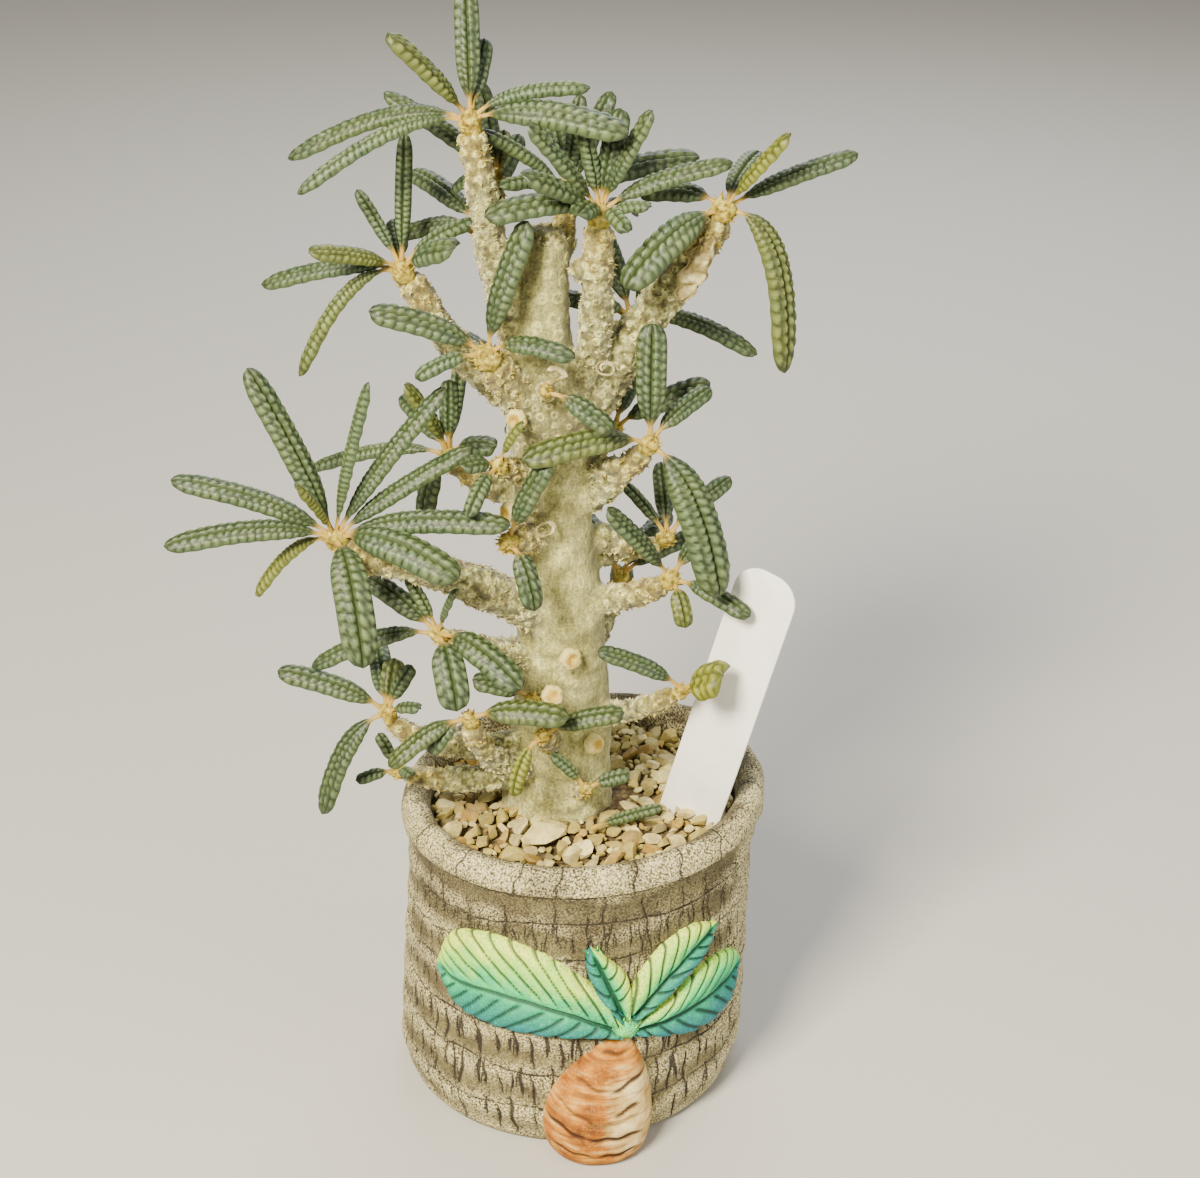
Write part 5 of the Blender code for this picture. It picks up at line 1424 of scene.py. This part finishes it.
rng = random.Random(20)
rosettes = []
for name, (before, end, end_radius, crown, leaves) in ROSETTES.items():
    before, end = Vector(before), Vector(end)
    heart = end - (end - before).normalized() * end_radius * HEART_DEPTH
    blades = []
    for number, leaf in enumerate(leaves):
        young = YOUNG.get((name, number), 0)
        blades.append(shape_leaf(f"leaf_{number}", heart, end_radius, leaf, young, rng))
    rosette = join(blades, "rosette_" + name)
    thicken(rosette)
    buds = shape_crown("crown_" + name, before, end, end_radius, crown, rng)
    for bud in buds:
        dress(bud, crown_scales)
    rosette = join([rosette] + buds, "rosette_" + name)
    smooth(rosette, 50)
    rosettes.append((rosette, "leaf", ["leaves_" + name]))
print("rosettes made:", len(rosettes))

# %% [markdown]
# The stem's branches turn golden towards their crowns, where the newest scars still hold their dry scales. So
# the stem learns how near each of its points is to a crown, which is known only now.

# %% Golden branch ends
GOLD_FROM, GOLD_TO = 6, 16  # mm from the crown's foot

tips = tree_of([Vector(end) - (Vector(end) - Vector(before)).normalized() * crown
                for before, end, _, crown, _ in ROSETTES.values()])
far = np.array([tips.find(point / MM)[2] for point in points_of(wood)])
gilded = 0.85 * (1 - rise(GOLD_FROM, GOLD_TO, far)) * on_branch
store(wood, young=gilded)

# %% [markdown]
# Each scar of the younger wood keeps a pair of dry, pointed scales, which make a branch's outline bristly.
# They are tiny pyramids, straw coloured on old wood and golden near a crown.

# %% Bristly scales
BRISTLE = np.array([(0.5, 0, 0), (0, 0.28, 0), (-0.5, 0, 0), (0, -0.28, 0), (0.12, 0, 1.5)])  # mm
BRISTLE_SIDES = ((0, 1, 4), (1, 2, 4), (2, 3, 4), (3, 0, 4))
BRISTLE_SPREAD = 1.1  # mm from the middle of its scar
bark, facings = points_of(wood), normals_of(wood)
surface = tree_of(bark)


def shape_bristles():
    rng = random.Random(52)
    scales, faces, roots = [], [], []
    for seed in bristle_seeds:
        for _ in range(2):
            spot = Vector(seed) + Vector([rng.uniform(-1, 1) for _ in range(3)]) * BRISTLE_SPREAD * MM
            _, nearest, _ = surface.find(spot)
            ahead = Vector(facings[nearest]) + Vector([rng.uniform(-0.7, 0.7) for _ in range(3)])
            aim = np.array(ahead.to_track_quat("Z", "Y").to_matrix())
            flake = BRISTLE * (rng.uniform(0.8, 1.6), rng.uniform(0.8, 1.5), rng.uniform(0.55, 1.0))
            faces += [[k + len(scales) * len(BRISTLE) for k in side] for side in BRISTLE_SIDES]
            scales.append(flake @ aim.T + bark[nearest] / MM - 0.15 * facings[nearest])
            roots += [nearest] * len(BRISTLE)
    bristles = new_piece("caudex_bristles", (np.vstack(scales) * MM).tolist(), faces=faces)
    store(bristles, young=gilded[roots])
    print("bristles:", len(scales))
    return bristles


bristles = shape_bristles()
# Thin dry skin scatters light, so it looks dull and pale.
husk, add, shader = new_material("dry stipule scales", 0.85, IOR=1.4)
young = add("Attribute", attribute_name="young")
fleck = add("TexNoise", {"Scale": 300, "Detail": 3})  # 3 mm, one scale to the next
straw = add("ValToRGB", {"Fac": fleck}, [(0.32, "#7f703d"), (0.5, "#ab9f6b"), (0.68, "#c9c08e")])
gold = add("ValToRGB", {"Fac": fleck}, [(0.32, "#84701c"), (0.5, "#a89736"), (0.68, "#c6b768")])
gilt = add("Mix", (young, straw, gold))
coat(shader, gilt)
dress(bristles, husk)

# %% [markdown]
# A few dry leaf stalks have curled up on the stem. Each is a curve with a round section, turned into a mesh.

# %% Dry curls
CURLS = [  # middle in mm, first and last radius in mm, turns, thickness in mm, and how far it runs out
    ((-5.6, -15.5, 190.8), 2.5, 2.0, 1.15, 0.5, 1.2), ((11.7, -11, 238), 2.8, 1.2, 1.6, 0.38, 3.0),
    ((-2.2, -18.5, 239), 2.6, 1.6, 0.42, 0.85, 1.2),
]
CURL_STEPS, CURL_SWAY = 26, 0.2


def shape_curl(number, middle, first, last, turns, thick, out):
    _, nearest, _ = surface.find(Vector(middle) * MM)
    facing, beside = LIGHT.normalized(), Vector((1, 0, 0))
    upward = facing.cross(beside)
    path = [Vector(bark[nearest]) / MM - facing * 0.5]
    for share in np.linspace(0, 1, CURL_STEPS).tolist():
        a = 2 * math.pi * turns * share
        radius = (first + (last - first) * share) * (1 + CURL_SWAY * math.sin(2 * a + 1 + number))
        path.append(Vector(middle) + beside * radius * math.cos(a) + upward * radius * math.sin(a)
                    + facing * out * (share - 0.5))
    line = bpy.data.curves.new(f"dry_curl_{number}", "CURVE")
    line.dimensions = "3D"
    line.bevel_depth = thick * MM
    line.bevel_resolution = 2
    line.use_fill_caps = True
    spline = line.splines.new("POLY")
    spline.points.add(len(path) - 1)
    spline.points.foreach_set("co", [c for point in path for c in (*(point * MM), 1)])
    curl = bpy.data.objects.new(f"dry_curl_{number}", line)
    scene.collection.objects.link(curl)
    only(curl)
    bpy.ops.object.convert(target="MESH")
    return bpy.context.object


curls = join([shape_curl(number, *curl) for number, curl in enumerate(CURLS)], "caudex_curls")
smooth(curls, 60)

# %% [markdown]
# ## Flower heads, dry leaves and the label
#
# Each flower head is a small fleshy button, seated on the bark where the solid one is. Its middle and its
# axis are read from that solid's points: the axis is the way in which they spread least. A sphere is pressed
# to that size, dimpled in front, where the tiny flowers are packed, and crinkled.

# %% Flower heads
def flower_head(number):
    solid = nodes[f"flower_head_{number}"]
    spots = np.unique(np.round(points_of(solid), 6), axis=0)
    middle = (spots.min(axis=0) + spots.max(axis=0)) / 2
    _, ways = np.linalg.eigh(np.cov((spots - middle).T))
    axis, across, up = ways.T
    axis = axis * np.sign(axis @ (middle * (1, 1, 0)))
    shares = (spots - middle) @ np.stack([across, up, axis]).T
    radius, half = np.hypot(shares[:, 0], shares[:, 1]).max(), np.abs(shares[:, 2]).max()
    head = start(
        f"bloom_{number}", bpy.ops.mesh.primitive_uv_sphere_add, segments=40, ring_count=24, radius=1)
    x, y, z = points_of(head).T
    away = np.hypot(x, y)
    wave_round = 1 + 0.05 * np.sin(5 * np.arctan2(y, x) + number) + 0.03 * np.sin(11 * np.arctan2(y, x))
    z = z - 0.45 * np.exp(-(away / 0.42) ** 2) * (z > 0)
    points = middle + np.outer(x * radius * wave_round, across) + np.outer(y * radius * wave_round, up)
    points += np.outer(z * half, axis)
    crinkle = 0.16 * lumps(points, 0.9 * MM, 50 + number) + 0.14 * lumps(points, 2.2 * MM, 60 + number)
    place_points(head, points + normals_of(head) * (crinkle * MM)[:, None])
    store(head, rim=rise(0.45, 0.8, away))
    smooth(head, 70)
    return head


# Soft flesh with a thin skin: dull, with a paler rim round the tiny flowers.
bloom, add, shader = new_material("fleshy flower head", 0.66, IOR=1.4)
rim = add("Attribute", attribute_name="rim")
dots = add("TexVoronoi", {"Scale": 1100})  # 0.9 mm, the tiny flowers
cloud = add("TexNoise", {"Scale": 330, "Detail": 3})  # 3 mm
heart = add("ValToRGB", {"Fac": cloud}, [(0.3, "#866a1e"), (0.5, "#ab8c30"), (0.72, "#c9b05a")])
edged = add("Mix", (rim, heart, "#cabd78"))
dotted = wash(add, edged, "#7d5e26", dots, 0.25, 0.0, 0.3)
coat(shader, dotted, add("Bump", (dots, 0.4 * MM, 0.6)))

blooms = []
for number in range(1, 7):
    head = flower_head(number)
    dress(head, bloom)
    blooms.append((head, "flower_head", [f"flower_head_{number}"]))
print("flower heads:", len(blooms))

# %% [markdown]
# A dead leaf hangs from the right arm, rolled up as it dried. A grid follows its length and curls round it,
# with folds that noise gives it, and it takes the place that the solid one has.

# %% The papery dead leaf
DRY_LEAF = [  # height, x, y, half width in mm, and the turn of its face
    (274, 40, -8.6, 1.6, -20), (271, 39, -9.6, 3, -35), (266, 37, -10.6, 4, -30),
    (261, 34.5, -10.8, 3.6, -15), (256, 32.5, -10.4, 1.4, 0),
]
DRY_ROLL = 1.9  # radians, from the middle to the margin


def shape_dry_leaf():
    leaf = start(
        "dry_leaf_paper", bpy.ops.mesh.primitive_grid_add, x_subdivisions=56, y_subdivisions=26, size=2)
    flat = points_of(leaf)
    share, t = (flat[:, 0] + 1) / 2, flat[:, 1]
    z, x, y, half, turn = through(DRY_LEAF, share).T
    half = half * (1 + 0.18 * np.sin(share * 23) * np.abs(t))
    curl = t * DRY_ROLL
    beside = half * np.sin(curl) / 1.1
    forward = half * (0.45 - 0.55 * np.cos(curl))
    creased = np.stack([share * 18, t * 3, 0 * t], axis=1)
    fold = np.abs(lumps(creased, 1.5, 71))
    forward = forward + 0.9 * lumps(creased, 1.9, 73) + 0.35 * lumps(creased, 0.6, 72) - 1.3 * fold
    a = np.radians(turn)
    x, y = x + beside * np.cos(a) + forward * np.sin(a), y + beside * np.sin(a) - forward * np.cos(a)
    points = np.stack([x, y, z], axis=1)
    low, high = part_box("dry_leaf")
    points[:, 1] += (low[1] + high[1]) / 2 / MM - (points[:, 1].min() + points[:, 1].max()) / 2
    place_points(leaf, points * MM)
    # crease marks the folds, which the material darkens as painted shade.
    store(leaf, crease=1 - rise(0, 0.22, fold))
    face_outwards(leaf)
    apply(leaf, "SOLIDIFY", thickness=0.35 * MM, offset=0)
    smooth(leaf, 50)
    return leaf


dry_leaf = shape_dry_leaf()
# A dead leaf has lost its wax, so it is dull. It is darker along its creases: painted shade.
paper, add, shader = new_material("dry papery leaf", 0.85, IOR=1.4)
cloud = add("TexNoise", {"Scale": 300, "Detail": 5})  # 3 mm, blotches of decay
brown = add("ValToRGB", {"Fac": cloud}, [
    (0.3, "#5c5228"), (0.46, "#8b8052"), (0.58, "#b3aa7e"), (0.72, "#d2cba6")])
crease = add("Attribute", attribute_name="crease")
crease = add("Math", (crease, 0.6), operation="MULTIPLY")
# Darker along the creases: painted shade.
creased = add("Mix", (crease, brown, "#5a4526"))
coat(shader, creased, add("Bump", (cloud, 0.5 * MM, 0.6)))
dress(dry_leaf, paper)
dress(curls, paper)

# %% The leaf that dropped on the stones
FALLEN_FOOT, FALLEN_ROW = Vector((7, -26, 103)), (24, 4, 24, 4, 9)
fallen = shape_leaf("fallen_blade", FALLEN_FOOT, 0, FALLEN_ROW, 0.1, rng)
thicken(fallen)
points = points_of(fallen)
points[:, 2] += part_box("fallen_leaf")[0][2] - points[:, 2].min()
place_points(fallen, points)
smooth(fallen, 50)

# %% [markdown]
# The label is a strip of white PVC, stamped out of sheet, so its edges are crisp but not sharp. Its flat
# outline is drawn, thickened and bevelled. It is bare: nothing is written on it.

# %% The label
LABEL_WIDTH, LABEL_ABOVE, LABEL_BELOW, LABEL_THICKNESS, LABEL_CORNER = 20, 84, 15, 0.9, 8  # mm
LABEL_FOOT, LABEL_LEANS = Vector((37.5, -13.5, 96)), (-6, 14)


def label_outline():
    half = LABEL_WIDTH / 2
    inner = half - LABEL_CORNER
    outline = [(0, -LABEL_BELOW), (half, -LABEL_BELOW + 3)]
    for side, first in ((1, 0), (-1, 90)):
        for step in range(17):
            a = math.radians(first + 90 * step / 16)
            outline.append((side * inner + LABEL_CORNER * math.cos(a),
                            LABEL_ABOVE - LABEL_CORNER + LABEL_CORNER * math.sin(a)))
    return outline + [(-half, -LABEL_BELOW + 3)]


def shape_label():
    outline = label_outline()
    label = new_piece("label_strip", [(x, 0, z) for x, z in outline], faces=[list(range(len(outline)))])
    apply(label, "SOLIDIFY", thickness=LABEL_THICKNESS, offset=0)
    apply(label, "BEVEL", width=0.2, segments=3, limit_method="ANGLE", angle_limit=math.radians(50))
    place = (Matrix.Translation(LABEL_FOOT) @ Matrix.Rotation(LABEL_TURN, 4, "Z")
             @ Matrix.Rotation(math.radians(LABEL_LEANS[0]), 4, "X")
             @ Matrix.Rotation(math.radians(LABEL_LEANS[1]), 4, "Y"))
    label.data.transform(Matrix.Scale(MM, 4) @ place)
    face_outwards(label)
    smooth(label, 40)
    return label


label = shape_label()
# PVC has an index of 1.53, and its satin face gives broad, soft highlights.
pvc, add, shader = new_material("white PVC sheet, satin", 0.38, IOR=1.53)
scuff = add("TexNoise", {"Scale": 90, "Detail": 5})  # 11 mm, handling marks
white = add("ValToRGB", {"Fac": scuff}, [(0.3, "#e4e4e0"), (0.55, "#efefec"), (0.8, "#f4f4f2")])
coat(shader, white, add("Bump", (scuff, 0.1 * MM, 0.2)))
dress(label, pvc)

finished = [(piece, "pot", ["pot"]) for piece in [pot, bulb, knot] + pot_leaves]
finished += [(piece, "grit", ["grit"]) for piece in (plug, grit_large, grit_small, flat_stone)]
finished += [(wood, "bark", ["caudex"]), (bristles, "bark", ["caudex"]), (curls, "dry_leaf", ["caudex"])]
finished += [(dry_leaf, "dry_leaf", ["dry_leaf"]), (fallen, "leaf", ["fallen_leaf"])]
finished += [(label, "label", ["label"])] + rosettes + blooms

# %% [markdown]
# ## The pieces on the body
#
# Every piece rides on the part's one body and hides the CAD nodes that it was built on. The last lines
# count the triangles.

# %% Ride, replace and count
for piece, slot, replaced in finished:
    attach(piece, "root")
    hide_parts(*replaced)
    piece.data.calc_loop_triangles()
triangles = {piece.name: len(piece.data.loop_triangles) for piece, _, _ in finished}
print("pieces:", len(triangles), "triangles:", sum(triangles.values()), "largest:", max(triangles.values()))
print(sorted(triangles.items(), key=lambda item: -item[1])[:8])
